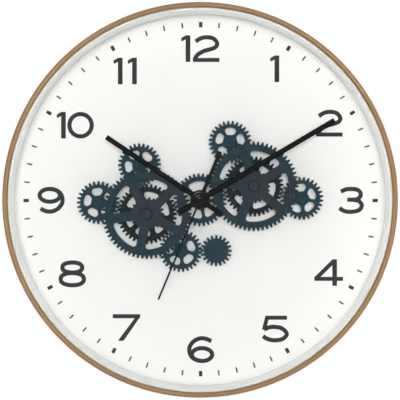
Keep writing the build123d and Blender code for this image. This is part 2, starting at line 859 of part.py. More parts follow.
# Movement cover with the posts of the train
stator_stand_axes = [
    (rotor_axis[0], rotor_axis[1] + (stator_hole_r + stator_end_r) / 2),
    (core_x, rotor_axis[1]),
    (core_x, coil_middle_z - coil_length / 2 - core_width / 2),
]
arbor_seat = case_wall / 2
with BuildPart() as movement_cover:
    with BuildSketch(front_plane(movement_back_h)):
        add(block(case_left, case_right, case_low, cover_high))
        with Locations(knob_axis):
            Circle(knob_arbor_r + run_gap, mode=Mode.SUBTRACT)
    extrude(amount=case_wall)
    for axis, post_r, top_h in (
        (third_axis, train_post_r, clutch_h + fine_wheel_thickness),
        (stepper_axis, train_post_r, third_h + fine_wheel_thickness),
        (rotor_axis, rotor_post_r, third_h + fine_wheel_thickness),
    ):
        with BuildSketch(front_plane(movement_cover_h, axis)):
            Circle(post_r)
        extrude(amount=top_h + pinion_margin - movement_cover_h)
    with BuildSketch(front_plane(movement_cover_h)):
        with Locations(*stator_stand_axes):
            Circle(stand_r)
    extrude(amount=stator_stand)
    with BuildSketch(front_plane(movement_back_h + arbor_seat)):
        Circle(seconds_arbor_r + tube_gap)
    extrude(amount=arbor_seat, mode=Mode.SUBTRACT)
finish(movement_cover, "movement_cover")

# Threaded bush that clamps the movement to the dial and carries the centre wheel
clip_h = mesh_top_h + hub_rise + end_float
bush_top_h = clip_h + clip_thickness + end_float
with BuildPart() as centre_bush:
    with BuildSketch(front_plane(movement_inner_h - bush_flange_thickness)):
        Circle(bush_flange_r)
    extrude(amount=bush_flange_thickness)
    with BuildSketch(front_plane(movement_inner_h - bush_flange_thickness)):
        Circle(bush_r)
    extrude(amount=bush_top_h - movement_inner_h + bush_flange_thickness)
    with BuildSketch(front_plane(movement_inner_h - bush_flange_thickness)):
        Circle(hour_tube_r + tube_gap)
    extrude(amount=bush_top_h - movement_inner_h + bush_flange_thickness, mode=Mode.SUBTRACT)
finish(centre_bush, "centre_bush")

with BuildPart() as bush_washer:
    with BuildSketch(front_plane(dial_face_h)):
        Circle(washer_r)
        Circle(bush_r + seat_gap, mode=Mode.SUBTRACT)
    extrude(amount=washer_thickness)
finish(bush_washer, "bush_washer")

with BuildPart() as bush_nut:
    with BuildSketch(front_plane(dial_face_h + washer_thickness)):
        RegularPolygon(nut_across_flats / 2, 6, major_radius=False)
        Circle(bush_r + fit_gap, mode=Mode.SUBTRACT)
    extrude(amount=nut_thickness)
finish(bush_nut, "bush_nut")

with BuildPart() as centre_clip:
    with BuildSketch(front_plane(clip_h)):
        Circle(clip_r)
        Circle(bush_r + fit_gap, mode=Mode.SUBTRACT)
    extrude(amount=clip_thickness)
finish(centre_clip, "centre_clip")

# Hour wheel and its tube
with BuildPart() as hour_wheel:
    with BuildSketch(front_plane(hour_wheel_h)):
        add(fine_wheel_face(hour_teeth, hour_module, hour_phase))
    extrude(amount=hour_wheel_thickness)
    with BuildSketch(front_plane(hour_wheel_h)):
        Circle(hour_tube_r)
    extrude(amount=hour_hand_h + hub_thickness - hour_wheel_h)
    with BuildSketch(front_plane(hour_wheel_h)):
        Circle(minute_tube_r + tube_gap)
    extrude(amount=hour_hand_h + hub_thickness - hour_wheel_h, mode=Mode.SUBTRACT)
finish(hour_wheel, "hour_wheel")

# Cannon pinion and its tube
cannon_low_h = clutch_h - pinion_margin
cannon_top_h = hand_nut_h + hand_nut_thickness
with BuildPart() as cannon_pinion:
    with BuildSketch(front_plane(motion_wheel_h - pinion_margin)):
        add(fine_pinion_face(cannon_teeth, motion_module, 0.0))
    extrude(amount=motion_wheel_thickness + 2 * pinion_margin)
    with BuildSketch(front_plane(cannon_low_h)):
        Circle(minute_tube_r)
    extrude(amount=cannon_top_h - cannon_low_h)
    with BuildSketch(front_plane(cannon_low_h)):
        Circle(seconds_arbor_r + tube_gap)
    extrude(amount=cannon_top_h - cannon_low_h, mode=Mode.SUBTRACT)
finish(cannon_pinion, "cannon_pinion")

# Motion wheel, which gears the hour wheel down from the cannon pinion
with BuildPart() as motion_wheel:
    with BuildSketch(front_plane(motion_wheel_h, motion_axis)):
        add(fine_wheel_face(motion_teeth, motion_module, motion_phase))
    extrude(amount=motion_wheel_thickness)
    with BuildSketch(front_plane(motion_wheel_h, motion_axis)):
        add(fine_pinion_face(motion_pinion_teeth, hour_module, 0.0))
    extrude(amount=hour_wheel_h + hour_wheel_thickness + pinion_margin - motion_wheel_h)
    with BuildSketch(front_plane(motion_wheel_h, motion_axis)):
        Circle(motion_post_r + run_gap)
    extrude(amount=movement_inner_h - motion_wheel_h, mode=Mode.SUBTRACT)
finish(motion_wheel, "motion_wheel")

# Setting knob, whose pinion turns the motion wheel
knob_h = movement_back_h - end_float - knob_thickness
with BuildPart() as set_knob:
    with BuildSketch(front_plane(knob_h, knob_axis)):
        Circle(knob_r)
        with PolarLocations(knob_r, knob_flutes):
            Circle(flute_r, mode=Mode.SUBTRACT)
    extrude(amount=knob_thickness)
    with BuildSketch(front_plane(knob_h, knob_axis)):
        Circle(knob_arbor_r)
    extrude(amount=motion_wheel_h - knob_h)
    with BuildSketch(front_plane(motion_wheel_h - pinion_margin, knob_axis)):
        add(fine_pinion_face(cannon_teeth, motion_module, knob_phase))
    extrude(amount=motion_wheel_thickness + 2 * pinion_margin)
finish(set_knob, "set_knob")

# Clutch wheel, which slips on the cannon pinion when the hands are set
with BuildPart() as clutch_wheel:
    with BuildSketch(front_plane(clutch_h)):
        add(fine_wheel_face(clutch_teeth, clutch_module, clutch_phase))
        Circle(minute_tube_r + run_gap, mode=Mode.SUBTRACT)
    extrude(amount=fine_wheel_thickness)
finish(clutch_wheel, "clutch_wheel")

# Third wheel and its pinion
with BuildPart() as third_wheel:
    with BuildSketch(front_plane(third_h, third_axis)):
        add(fine_wheel_face(third_teeth, third_module, third_phase))
    extrude(amount=fine_wheel_thickness)
    with BuildSketch(front_plane(third_h, third_axis)):
        add(fine_pinion_face(third_pinion_teeth, clutch_module, 0.0))
    extrude(amount=clutch_h + fine_wheel_thickness + pinion_margin - third_h)
    with BuildSketch(front_plane(third_h, third_axis)):
        Circle(train_post_r + run_gap)
    extrude(amount=clutch_h + fine_wheel_thickness + pinion_margin - third_h, mode=Mode.SUBTRACT)
finish(third_wheel, "third_wheel")

# Seconds wheel, its pinion and the long arbor of the second hand
arbor_low_h = movement_back_h + arbor_seat + end_float
arbor_top_h = second_hand_h + arbor_hold
with BuildPart() as seconds_wheel:
    with BuildSketch(front_plane(seconds_h)):
        add(fine_wheel_face(seconds_teeth, seconds_module, 0.0))
    extrude(amount=fine_wheel_thickness)
    with BuildSketch(front_plane(seconds_h)):
        add(fine_pinion_face(seconds_pinion_teeth, third_module, 0.0))
    extrude(amount=third_h + fine_wheel_thickness + pinion_margin - seconds_h)
    with BuildSketch(front_plane(arbor_low_h)):
        Circle(seconds_arbor_r)
    extrude(amount=arbor_top_h - arbor_low_h)
finish(seconds_wheel, "seconds_wheel")

# Stepper wheel between the rotor and the seconds wheel
with BuildPart() as stepper_wheel:
    with BuildSketch(front_plane(third_h, stepper_axis)):
        add(fine_wheel_face(stepper_teeth, rotor_module, 0.0))
    extrude(amount=fine_wheel_thickness)
    with BuildSketch(front_plane(seconds_h - pinion_margin, stepper_axis)):
        add(fine_pinion_face(stepper_pinion_teeth, seconds_module, stepper_pinion_phase))
    extrude(amount=third_h - seconds_h + pinion_margin)
    with BuildSketch(front_plane(seconds_h - pinion_margin, stepper_axis)):
        Circle(train_post_r + run_gap)
    extrude(amount=third_h + fine_wheel_thickness - seconds_h + pinion_margin, mode=Mode.SUBTRACT)
finish(stepper_wheel, "stepper_wheel")

# Magnet rotor and its pinion
with BuildPart() as stepper_rotor:
    with BuildSketch(front_plane(magnet_h, rotor_axis)):
        Circle(magnet_r)
    extrude(amount=magnet_thickness)
    with BuildSketch(front_plane(magnet_h, rotor_axis)):
        add(fine_pinion_face(rotor_pinion_teeth, rotor_module, rotor_phase))
    extrude(amount=third_h + fine_wheel_thickness + pinion_margin - magnet_h)
    with BuildSketch(front_plane(magnet_h, rotor_axis)):
        Circle(rotor_post_r + run_gap)
    extrude(amount=third_h + fine_wheel_thickness + pinion_margin - magnet_h, mode=Mode.SUBTRACT)
finish(stepper_rotor, "stepper_rotor")

# Stator round the rotor, with a core leg through the coil
core_low_z = coil_middle_z - coil_length / 2 - core_width
core_right = core_x + core_width / 2
with BuildPart() as stator:
    with BuildSketch(front_plane(stator_h)):
        add(block(rotor_axis[0], core_right, rotor_axis[1] - stator_end_r, rotor_axis[1] + stator_end_r))
        with Locations(rotor_axis):
            Circle(stator_end_r)
        add(block(core_right - core_width, core_right, core_low_z, rotor_axis[1]))
        with Locations(rotor_axis):
            Circle(stator_hole_r, mode=Mode.SUBTRACT)
    extrude(amount=stator_thickness)
finish(stator, "stator")

# Coil on the core leg
coil_z_low = coil_middle_z - coil_length / 2 + seat_gap
coil_run = coil_length - 2 * seat_gap
coil_h = stator_h + stator_thickness / 2
coil_lift = max(0.0, movement_cover_h + coil_height / 2 + coil_flange_rise + seat_gap - coil_h)
with BuildPart() as coil:
    coil_plane = Plane(
        origin=(core_x, hoop_depth / 2 - coil_h - coil_lift, coil_z_low), x_dir=(1, 0, 0), z_dir=(0, 0, 1)
    )
    with BuildSketch(coil_plane):
        RectangleRounded(coil_width, coil_height, coil_height / 4)
    extrude(amount=coil_run)
    with BuildSketch(coil_plane, coil_plane.offset(coil_run - coil_flange)):
        Rectangle(coil_width + 2 * coil_flange_rise, coil_height + 2 * coil_flange_rise)
    extrude(amount=coil_flange)
    with BuildSketch(coil_plane):
        with Locations((0, coil_lift)):
            Rectangle(core_width + 2 * seat_gap, stator_thickness + 2 * seat_gap)
    extrude(amount=coil_run, mode=Mode.SUBTRACT)
finish(coil, "coil")

# Circuit board on the cover, and the quartz crystal on it
board_left = bay_left + bay_gap
board_high = bay_high - bay_gap
with BuildPart() as circuit_board:
    with BuildSketch(front_plane(movement_cover_h)):
        add(block(board_left, board_left + board_width, board_high - board_height, board_high))
    extrude(amount=board_thickness)
finish(circuit_board, "circuit_board")

with BuildPart() as quartz_crystal:
    crystal_origin = (
        board_left + board_width / 2 - crystal_length / 2,
        hoop_depth / 2 - movement_cover_h - board_thickness - crystal_r - fit_gap,
        board_high - board_height / 2,
    )
    with BuildSketch(Plane(origin=crystal_origin, x_dir=(0, 1, 0), z_dir=(1, 0, 0))):
        Circle(crystal_r)
    extrude(amount=crystal_length)
finish(quartz_crystal, "quartz_crystal")


def cell_of(middle, height):
    """A round cell that lies across the clock, with its nub to the right."""
    left = middle[0] - cell_bay_length / 2 + contact_thickness + leaf_rise + cell_gap / 2
    origin = (left, hoop_depth / 2 - height, middle[1])
    end = Plane(origin=origin, x_dir=(0, 1, 0), z_dir=(1, 0, 0))
    with BuildPart() as cell:
        with BuildSketch(end):
            Circle(cell_r)
        extrude(amount=cell_length)
        with BuildSketch(end):
            Circle(nub_r)
        extrude(amount=cell_length + nub_length)
    return cell


def contacts_of(middle, height):
    """The leaf contact on the left of a cell and the plain contact on its right."""
    left = middle[0] - cell_bay_length / 2
    right = middle[0] + cell_bay_length / 2 - contact_thickness
    with BuildPart() as contacts:
        for start, rise in ((left, leaf_rise), (right, 0.0)):
            origin = (start, hoop_depth / 2 - height, middle[1])
            end = Plane(origin=origin, x_dir=(0, 1, 0), z_dir=(1, 0, 0))
            with BuildSketch(end):
                Rectangle(contact_width, contact_width)
            extrude(amount=contact_thickness)
            with BuildSketch(end):
                Circle(leaf_r)
            extrude(amount=contact_thickness + rise)
    return contacts


movement_cell_at = (bay_middle, cell_z)
finish(cell_of(movement_cell_at, movement_cell_h), "movement_cell")
finish(contacts_of(movement_cell_at, movement_cell_h), "movement_contacts")

# Levels of the gear motor, from the inside of its front wall backwards
motor_inner_h = dial_back_h - motor_wall
output_wheel_h = motor_inner_h - pinion_margin - motor_level_gap - output_wheel_thickness
reduction_wheel_h = output_wheel_h - pinion_margin - motor_level_gap - reduction_wheel_thickness
can_top_h = reduction_wheel_h - pinion_margin - motor_level_gap
motor_cover_h = can_top_h - can_length
motor_back_h = motor_cover_h - motor_wall

# Axes and rest phases of the gear motor
motor_reach = motor_module * fine_span(reduction_pinion_teeth, output_teeth)
rotor_pinion_reach = motor_module * fine_span(motor_pinion_teeth, reduction_teeth)
reduction_axis = step(drive_axis, reduction_direction, motor_reach)
motor_axis = step(reduction_axis, motor_direction, rotor_pinion_reach)
reduction_pinion_phase = meshed_phase(0.0, output_teeth, reduction_direction, reduction_pinion_teeth)
motor_pinion_phase = meshed_phase(0.0, reduction_teeth, motor_direction, motor_pinion_teeth)

# Room that the gear motor's pieces need inside the case
cup_r = can_r + seat_gap + can_cup_wall
motor_rooms = [
    (drive_axis, fine_wheel_r(output_teeth, motor_module)),
    (reduction_axis, fine_wheel_r(reduction_teeth, motor_module)),
    (motor_axis, cup_r),
]
motor_low = min(axis[1] - room for axis, room in motor_rooms) - bay_gap
motor_high = max(axis[1] + room for axis, room in motor_rooms) + bay_gap
motor_left = min(axis[0] - room for axis, room in motor_rooms) - bay_gap
motor_right = max(axis[0] + room for axis, room in motor_rooms) + bay_gap
motor_middle = (motor_left + motor_right) / 2
motor_left = min(motor_left, motor_middle - cell_bay_length / 2)
motor_right = max(motor_right, motor_middle + cell_bay_length / 2)
motor_cover_low = motor_low - motor_wall
motor_cell_z = motor_cover_low - cell_bay_width / 2
motor_case_low = motor_cell_z - cell_bay_width / 2 - motor_wall
motor_case_left = motor_left - motor_wall
motor_case_right = motor_right + motor_wall
motor_case_high = motor_high + motor_wall
motor_cell_h = motor_inner_h - cell_gap - cell_r
boss_r = cover_screw_inset - motor_wall + cover_screw_r
cover_screw_axes = [
    (motor_case_left + cover_screw_inset, motor_case_high - cover_screw_inset),
    (motor_case_right - cover_screw_inset, motor_case_high - cover_screw_inset),
    (motor_case_left + cover_screw_inset, motor_cover_low + cover_screw_inset),
    (motor_case_right - cover_screw_inset, motor_cover_low + cover_screw_inset),
]

# Gear motor case, with a snout that passes through the dial
with BuildPart() as motor_case:
    with BuildSketch(front_plane(motor_cover_h)):
        add(block(motor_case_left, motor_case_right, motor_cover_low, motor_case_high))
    extrude(amount=dial_back_h - motor_cover_h)
    with BuildSketch(front_plane(motor_back_h)):
        add(block(motor_case_left, motor_case_right, motor_case_low, motor_cover_low))
    extrude(amount=dial_back_h - motor_back_h)
    with BuildSketch(front_plane(motor_cover_h)):
        add(block(motor_left, motor_right, motor_low, motor_high))
    extrude(amount=motor_inner_h - motor_cover_h, mode=Mode.SUBTRACT)
    with BuildSketch(front_plane(motor_back_h)):
        add(block(motor_left, motor_right, motor_case_low + motor_wall, motor_cover_low))
    extrude(amount=motor_inner_h - motor_back_h, mode=Mode.SUBTRACT)
    with BuildSketch(front_plane(motor_cover_h)):
        with Locations(*cover_screw_axes):
            Circle(boss_r)
    extrude(amount=dial_back_h - motor_cover_h)
    with BuildSketch(front_plane(reduction_wheel_h - pinion_margin, reduction_axis)):
        Circle(reduction_post_r)
    extrude(amount=motor_inner_h - reduction_wheel_h + pinion_margin)
    with BuildSketch(front_plane(motor_inner_h, drive_axis)):
        Circle(snout_r)
    extrude(amount=wheel_seat_h - motor_inner_h)
    with BuildSketch(front_plane(motor_inner_h, drive_axis)):
        Circle(stud_r + run_gap)
    extrude(amount=wheel_seat_h - motor_inner_h, mode=Mode.SUBTRACT)
    with BuildSketch(front_plane(motor_cover_h)):
        with Locations(*cover_screw_axes):
            Circle(cover_screw_r + fit_gap)
    extrude(amount=cover_screw_length, mode=Mode.SUBTRACT)
finish(motor_case, "motor_case")

# Gear motor cover, with a cup for the motor can
with BuildPart() as motor_cover:
    with BuildSketch(front_plane(motor_back_h)):
        add(block(motor_case_left, motor_case_right, motor_cover_low, motor_case_high))
        with Locations(*cover_screw_axes):
            Circle(cover_screw_r + seat_gap, mode=Mode.SUBTRACT)
    extrude(amount=motor_wall)
    with BuildSketch(front_plane(motor_cover_h, motor_axis)):
        Circle(cup_r)
        Circle(can_r + seat_gap, mode=Mode.SUBTRACT)
    extrude(amount=can_cup_depth)
finish(motor_cover, "motor_cover")

motor_cover_screws = pan_screws(
    cover_screw_axes,
    motor_back_h,
    (cover_screw_r, motor_wall + cover_screw_length),
    (cover_screw_head_r, cover_screw_head_thickness),
    (cover_recess_length, cover_recess_width, cover_recess_depth),
)
finish(motor_cover_screws, "motor_cover_screws")

# Motor can, with a blind bearing for the rotor
with BuildPart() as motor_can:
    with BuildSketch(front_plane(motor_cover_h, motor_axis)):
        Circle(can_r)
    extrude(amount=can_length)
    with BuildSketch(front_plane(can_top_h - motor_shaft_seat, motor_axis)):
        Circle(motor_shaft_r + run_gap)
    extrude(amount=motor_shaft_seat, mode=Mode.SUBTRACT)
finish(motor_can, "motor_can")

# Rotor shaft of the motor, with its pinion
rotor_low_h = can_top_h - motor_shaft_seat + end_float
with BuildPart() as motor_rotor:
    with BuildSketch(front_plane(rotor_low_h, motor_axis)):
        Circle(motor_shaft_r)
    extrude(amount=reduction_wheel_h - rotor_low_h)
    with BuildSketch(front_plane(reduction_wheel_h - pinion_margin, motor_axis)):
        add(fine_pinion_face(motor_pinion_teeth, motor_module, motor_pinion_phase))
    extrude(amount=reduction_wheel_thickness + 2 * pinion_margin)
finish(motor_rotor, "motor_rotor")

# Reduction wheel and its pinion
with BuildPart() as reduction_wheel:
    with BuildSketch(front_plane(reduction_wheel_h, reduction_axis)):
        add(fine_wheel_face(reduction_teeth, motor_module, 0.0))
    extrude(amount=reduction_wheel_thickness)
    with BuildSketch(front_plane(reduction_wheel_h, reduction_axis)):
        add(fine_pinion_face(reduction_pinion_teeth, motor_module, reduction_pinion_phase))
    extrude(amount=output_wheel_h + output_wheel_thickness + pinion_margin - reduction_wheel_h)
    with BuildSketch(front_plane(reduction_wheel_h, reduction_axis)):
        Circle(reduction_post_r + run_gap)
    extrude(amount=motor_inner_h - reduction_wheel_h, mode=Mode.SUBTRACT)
finish(reduction_wheel, "reduction_wheel")

# Output wheel and output shaft
with BuildPart() as output_wheel:
    with BuildSketch(front_plane(output_wheel_h, drive_axis)):
        add(fine_wheel_face(output_teeth, motor_module, 0.0))
        Circle(stud_r + fit_gap, mode=Mode.SUBTRACT)
    extrude(amount=output_wheel_thickness)
finish(output_wheel, "output_wheel")

with BuildPart() as output_shaft:
    with BuildSketch(front_plane(output_wheel_h, drive_axis)):
        Circle(stud_r)
    extrude(amount=mesh_top_h - output_wheel_h)
finish(output_shaft, "output_shaft")

motor_cell_at = (motor_middle, motor_cell_z)
finish(cell_of(motor_cell_at, motor_cell_h), "motor_cell")
finish(contacts_of(motor_cell_at, motor_cell_h), "motor_contacts")


def bar_hand(height, angle, width, length, tail, bore_r):
    """A bar hand with bevelled sides and a round hub pressed on its tube."""
    half = width / 2
    flat = hand_flat / 2
    edge = hand_edge
    top = hand_edge + hand_rise
    section = ((-half, edge), (-half, 0), (half, 0), (half, edge), (flat, top), (-flat, top))
    with BuildPart() as hand:
        with BuildSketch(along_plane(height, angle, -tail)):
            with BuildLine():
                Polyline(*section, close=True)
            make_face()
        extrude(amount=tail + length)
        add(bevelled_disc(height, centre_axis, hand_hub_r, hub_thickness, hand_bevel))
        with BuildSketch(front_plane(height)):
            Circle(bore_r + fit_gap)
        extrude(amount=hub_thickness, mode=Mode.SUBTRACT)
    return hand


hour_hand = bar_hand(hour_hand_h, hour_angle, hour_width, hour_length, hour_tail, hour_tube_r)
finish(hour_hand, "hour_hand")
minute_hand = bar_hand(
    minute_hand_h, minute_angle, minute_width, minute_length, minute_tail, minute_tube_r
)
finish(minute_hand, "minute_hand")

# Nut that holds the minute hand on its tube
with BuildPart() as hand_nut:
    add(bevelled_disc(hand_nut_h, centre_axis, hand_nut_r, hand_nut_thickness, hand_bevel))
    with BuildSketch(front_plane(hand_nut_h)):
        Circle(minute_tube_r + fit_gap)
    extrude(amount=hand_nut_thickness, mode=Mode.SUBTRACT)
finish(hand_nut, "hand_nut")

# Second hand: a needle with a broad tail, and a hub pressed on the arbor
with BuildPart() as second_hand:
    needle_h = second_hand_h + (second_hub_thickness - needle_thickness) / 2
    with BuildSketch(along_plane(needle_h, second_angle, 0)):
        with Locations((0, needle_thickness / 2)):
            Rectangle(needle_width, needle_thickness)
    extrude(amount=second_length)
    with BuildSketch(along_plane(needle_h, second_angle, -second_tail)):
        with Locations((0, needle_thickness / 2)):
            Rectangle(tail_width, needle_thickness)
    extrude(amount=second_tail)
    add(bevelled_disc(second_hand_h, centre_axis, second_hub_r, second_hub_thickness, hand_bevel))
    with BuildSketch(front_plane(second_hand_h)):
        Circle(seconds_arbor_r + fit_gap)
    extrude(amount=arbor_hold, mode=Mode.SUBTRACT)
finish(second_hand, "second_hand")

# Places that mounts and joints use
print(f"hoop depth {hoop_depth:.3f}, dial {dial_face_h:.3f}, glass back {glass_back_h:.3f}")
print(f"keyhole at z {keyhole_z:.4f}, plate back at y {hoop_depth / 2 - hanger_plate_inset:.4f}")
for name, axis in (
    ("left", left_axis),
    ("right", right_axis),
    ("drive", drive_axis),
    ("reduction", reduction_axis),
    ("motor", motor_axis),
    ("motion", motion_axis),
    ("knob", knob_axis),
    ("third", third_axis),
    ("stepper", stepper_axis),
    ("rotor", rotor_axis),
    *[(name, axis) for name, axis, phase, spoke_angle in small_wheels],
):
    print(f"{name} axis at x {axis[0]:.4f}, z {axis[1]:.4f}")
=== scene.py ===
"""Looks of a gear wall clock: bent wooden hoop, white dial, open train of dark wheels and black hands."""
import logging
import math
from dataclasses import dataclass, field, replace
from enum import Enum

import bmesh
import bpy
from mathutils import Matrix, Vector

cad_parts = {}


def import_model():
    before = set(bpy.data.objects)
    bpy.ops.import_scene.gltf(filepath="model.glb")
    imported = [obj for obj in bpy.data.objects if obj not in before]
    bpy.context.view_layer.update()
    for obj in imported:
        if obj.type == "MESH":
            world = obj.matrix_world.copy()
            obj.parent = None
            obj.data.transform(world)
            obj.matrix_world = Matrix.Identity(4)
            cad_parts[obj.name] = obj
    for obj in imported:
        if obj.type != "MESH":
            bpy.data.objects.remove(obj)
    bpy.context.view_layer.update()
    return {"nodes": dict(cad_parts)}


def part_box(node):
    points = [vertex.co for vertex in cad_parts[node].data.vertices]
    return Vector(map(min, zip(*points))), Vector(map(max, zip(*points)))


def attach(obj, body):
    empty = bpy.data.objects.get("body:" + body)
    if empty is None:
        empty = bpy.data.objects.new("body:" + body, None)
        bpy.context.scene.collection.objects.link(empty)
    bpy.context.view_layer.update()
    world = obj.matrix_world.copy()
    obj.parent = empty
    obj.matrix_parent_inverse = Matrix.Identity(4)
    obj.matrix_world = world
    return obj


LOG = logging.getLogger("gear_clock")
MM = 0.001
CASE_BODY = "clock_body"
CELL_PIP_MM = 1.2
HOURS = 12
MINUTES = 60
WHITE = (1, 1, 1, 1)
RISING = (0.0, 1.0)
FALLING = (1.0, 0.0)

# Node types that come up often.
MATHS = "ShaderNodeMath"
MIX = "ShaderNodeMix"
NOISE = "ShaderNodeTexNoise"
RANGE = "ShaderNodeMapRange"
VECTORS = "ShaderNodeVectorMath"

# Where most of a noise's values lie.
USUAL = (0.3, 0.7)

# Y of a normal: where a front face ends, and where a bevel starts and ends.
FRONT_ENDS = (-0.95, -0.8)
BEVEL_STARTS = (-0.9, -0.8)
BEVEL_ENDS = (-0.6, -0.5)

# Sockets of a Mix node, and the phase that a Wave Texture gains over one unit of scale and place.
FIRST_NUMBER = 2
SECOND_NUMBER = 3
FIRST_COLOUR = 6
SECOND_COLOUR = 7
MIXED_COLOUR = 2
WAVE_RATE = 20.0

Point = tuple[float, float]
Place = tuple[float, float, float]
Colour = tuple[float, float, float, float]
Path = list[Point]
Socket = bpy.types.NodeSocket


class Op(Enum):
    """What a node does to its inputs."""

    ABOVE = "GREATER_THAN"
    ABSOLUTE = "ABSOLUTE"
    ADD = "ADD"
    COMPARE = "COMPARE"
    COSINE = "COSINE"
    DISTANCE = "DISTANCE"
    DIVIDE = "DIVIDE"
    DOT = "DOT_PRODUCT"
    EITHER = "OR"
    EQUAL = "EQUAL"
    LENGTH = "LENGTH"
    MAXIMUM = "MAXIMUM"
    MINIMUM = "MINIMUM"
    MODULO = "FLOORED_MODULO"
    MULTIPLY = "MULTIPLY"
    MULTIPLY_ADD = "MULTIPLY_ADD"
    NORMALIZE = "NORMALIZE"
    POWER = "POWER"
    SCALE = "SCALE"
    SINE = "SINE"
    SUBTRACT = "SUBTRACT"


def linear(code: str) -> Colour:
    """Turns an sRGB hex code into a linear colour.

    Args:
        code: Six hex digits.

    Returns:
        Linear red, green and blue, and an alpha of 1.
    """
    parts = [int(code[i:i + 2], 16) / 255 for i in (0, 2, 4)]
    red, green, blue = (p / 12.92 if p <= 0.04045 else ((p + 0.055) / 1.055) ** 2.4 for p in parts)
    return red, green, blue, 1.0


def rate(size_mm: float) -> float:
    """Gives the scale of a pattern whose features are about so many millimetres across."""
    return 1.0 / (size_mm * MM)


@dataclass
class Nodes:
    """A node tree while it is being laid out."""

    tree: bpy.types.NodeTree

    def add(
        self, kind: str, inputs: dict | tuple = (), **settings: Enum | str | bool
    ) -> bpy.types.NodeOutputs:
        """Adds a node with its settings, and sets or links its inputs.

        Args:
            kind: The node's type name.
            inputs: Values or output sockets, in order or by an input's name or index.
            settings: Attribute names, each with an option or a value.

        Returns:
            The new node's outputs.
        """
        node = self.tree.nodes.new(kind)
        for name, value in settings.items():
            setattr(node, name, value.value if isinstance(value, Enum) else value)
        for socket, source in inputs.items() if isinstance(inputs, dict) else enumerate(inputs):
            if isinstance(source, Socket):
                self.tree.links.new(source, node.inputs[socket])
            else:
                node.inputs[socket].default_value = source
        return node.outputs


class Sheet(Nodes):
    """A material's node tree while it is being laid out."""

    def __init__(self, name: str) -> None:
        """Starts an empty material that reads Object coordinates.

        Args:
            name: The material's name.
        """
        self.material: bpy.types.Material = bpy.data.materials.new(name)
        self.material.use_nodes = True
        super().__init__(self.material.node_tree)
        self.tree.nodes.clear()
        self.place: Socket = self.add("ShaderNodeTexCoord")["Object"]

    def flat(self) -> Socket:
        """Gives the place across the dial, without its depth."""
        return self.add(VECTORS, (self.place, (1, 0, 1)), operation=Op.MULTIPLY)[0]

    def facing(self, normal: str) -> Socket:
        """Gives the Y of a normal, by its name on the Geometry node: -1 looks to the front."""
        return self.add("ShaderNodeSeparateXYZ", (self.add("ShaderNodeNewGeometry")[normal],))["Y"]

    def lay(
        self, under: str | Socket, over: str | Socket, amount: Socket, rise: Point, share: Point = RISING
    ) -> Socket:
        """Lays one colour over another by how far an amount has risen.

        Args:
            under: The colour below, as a hex code or a socket.
            over: The colour on top, as a hex code or a socket.
            amount: What decides where it lies.
            rise: Where the amount starts to count and where it counts in full.
            share: How much of the top colour shows at the start and in full.

        Returns:
            The mixed colour's socket.
        """
        mask = self.add(RANGE, (amount, *rise, *share))[0]
        first, second = (linear(c) if isinstance(c, str) else c for c in (under, over))
        colours = {0: mask, FIRST_COLOUR: first, SECOND_COLOUR: second}
        return self.add(MIX, colours, data_type="RGBA", clamp_result=True)[MIXED_COLOUR]

    def finished(self, height: Socket, bump: Point, **inputs: Colour | Socket | float) -> bpy.types.Material:
        """Ends the tree in a Principled shader over a bump.

        Args:
            height: The bump's height, from 0 to 1.
            bump: Its depth in millimetres, and the share of it that shows.
            inputs: Principled inputs, with underscores for spaces.

        Returns:
            The finished material.
        """
        depth_mm, strength = bump
        relief = {"Height": height, "Distance": depth_mm * MM, "Strength": strength}
        named = {name.replace("_", " "): value for name, value in inputs.items()}
        named["Normal"] = self.add("ShaderNodeBump", relief)[0]
        shader = self.add("ShaderNodeBsdfPrincipled", named)[0]
        self.add("ShaderNodeOutputMaterial", (shader,))
        return self.material


@dataclass(frozen=True)
class BentBeech:
    """Beech strip bent into a hoop, sanded and lacquered: long fine grain that runs round the hoop."""

    name: str = "bent_beech_lacquered"
    pale: str = "9A763C"
    tone: str = "8A6530"
    dark: str = "6E4C23"
    grain_mm: float = 1.4
    grain_rise: Point = (0.35, 0.68)
    band_mm: float = 8.4
    band_rise: Point = (0.45, 0.75)
    band_share: Point = (0.0, 0.55)
    pore_mm: float = 0.45
    pore_rise: Point = (0.60, 0.72)
    pore_share: Point = (0.0, 0.5)
    pore_bump: Point = (0.05, 0.6)
    rough: Point = (0.52, 0.40)
    stretch: float = 30.0
    hoop_r_mm: float = 200.0

    def make(self) -> bpy.types.Material:
        """Lays the grain along the hoop: a turn round it is shrunk to a small circle of coordinates.

        Returns:
            The finished material.
        """
        s = Sheet(self.name)
        flat = s.flat()
        radius = s.add(VECTORS, (flat,), operation=Op.LENGTH)["Value"]
        around = s.add(VECTORS, (flat,), operation=Op.NORMALIZE)[0]
        depth = s.add(VECTORS, (s.place, (0, 1, 0)), operation=Op.MULTIPLY)[0]
        run = self.hoop_r_mm * MM / self.stretch
        turn = s.add(VECTORS, {0: around, "Scale": run}, operation=Op.SCALE)[0]
        place = s.add(VECTORS, (turn, depth), operation=Op.ADD)[0]
        wood = {"Vector": place, "W": radius, "Detail": 2.0}
        fibres = {**wood, "Scale": rate(self.grain_mm), "Detail": 4.0, "Distortion": 0.6}
        grain = s.add(NOISE, fibres, noise_dimensions="4D")[0]
        bands = s.add(NOISE, {**wood, "Scale": rate(self.band_mm)}, noise_dimensions="4D")[0]
        pores = s.add(NOISE, {**wood, "Scale": rate(self.pore_mm)}, noise_dimensions="4D")[0]
        colour = s.lay(self.tone, self.pale, grain, self.grain_rise)
        colour = s.lay(colour, self.dark, bands, self.band_rise, self.band_share)
        colour = s.lay(colour, self.dark, pores, self.pore_rise, self.pore_share)
        rough = s.add(RANGE, (grain, *USUAL, *self.rough))[0]
        return s.finished(pores, self.pore_bump, Base_Color=colour, Roughness=rough, IOR=1.5)


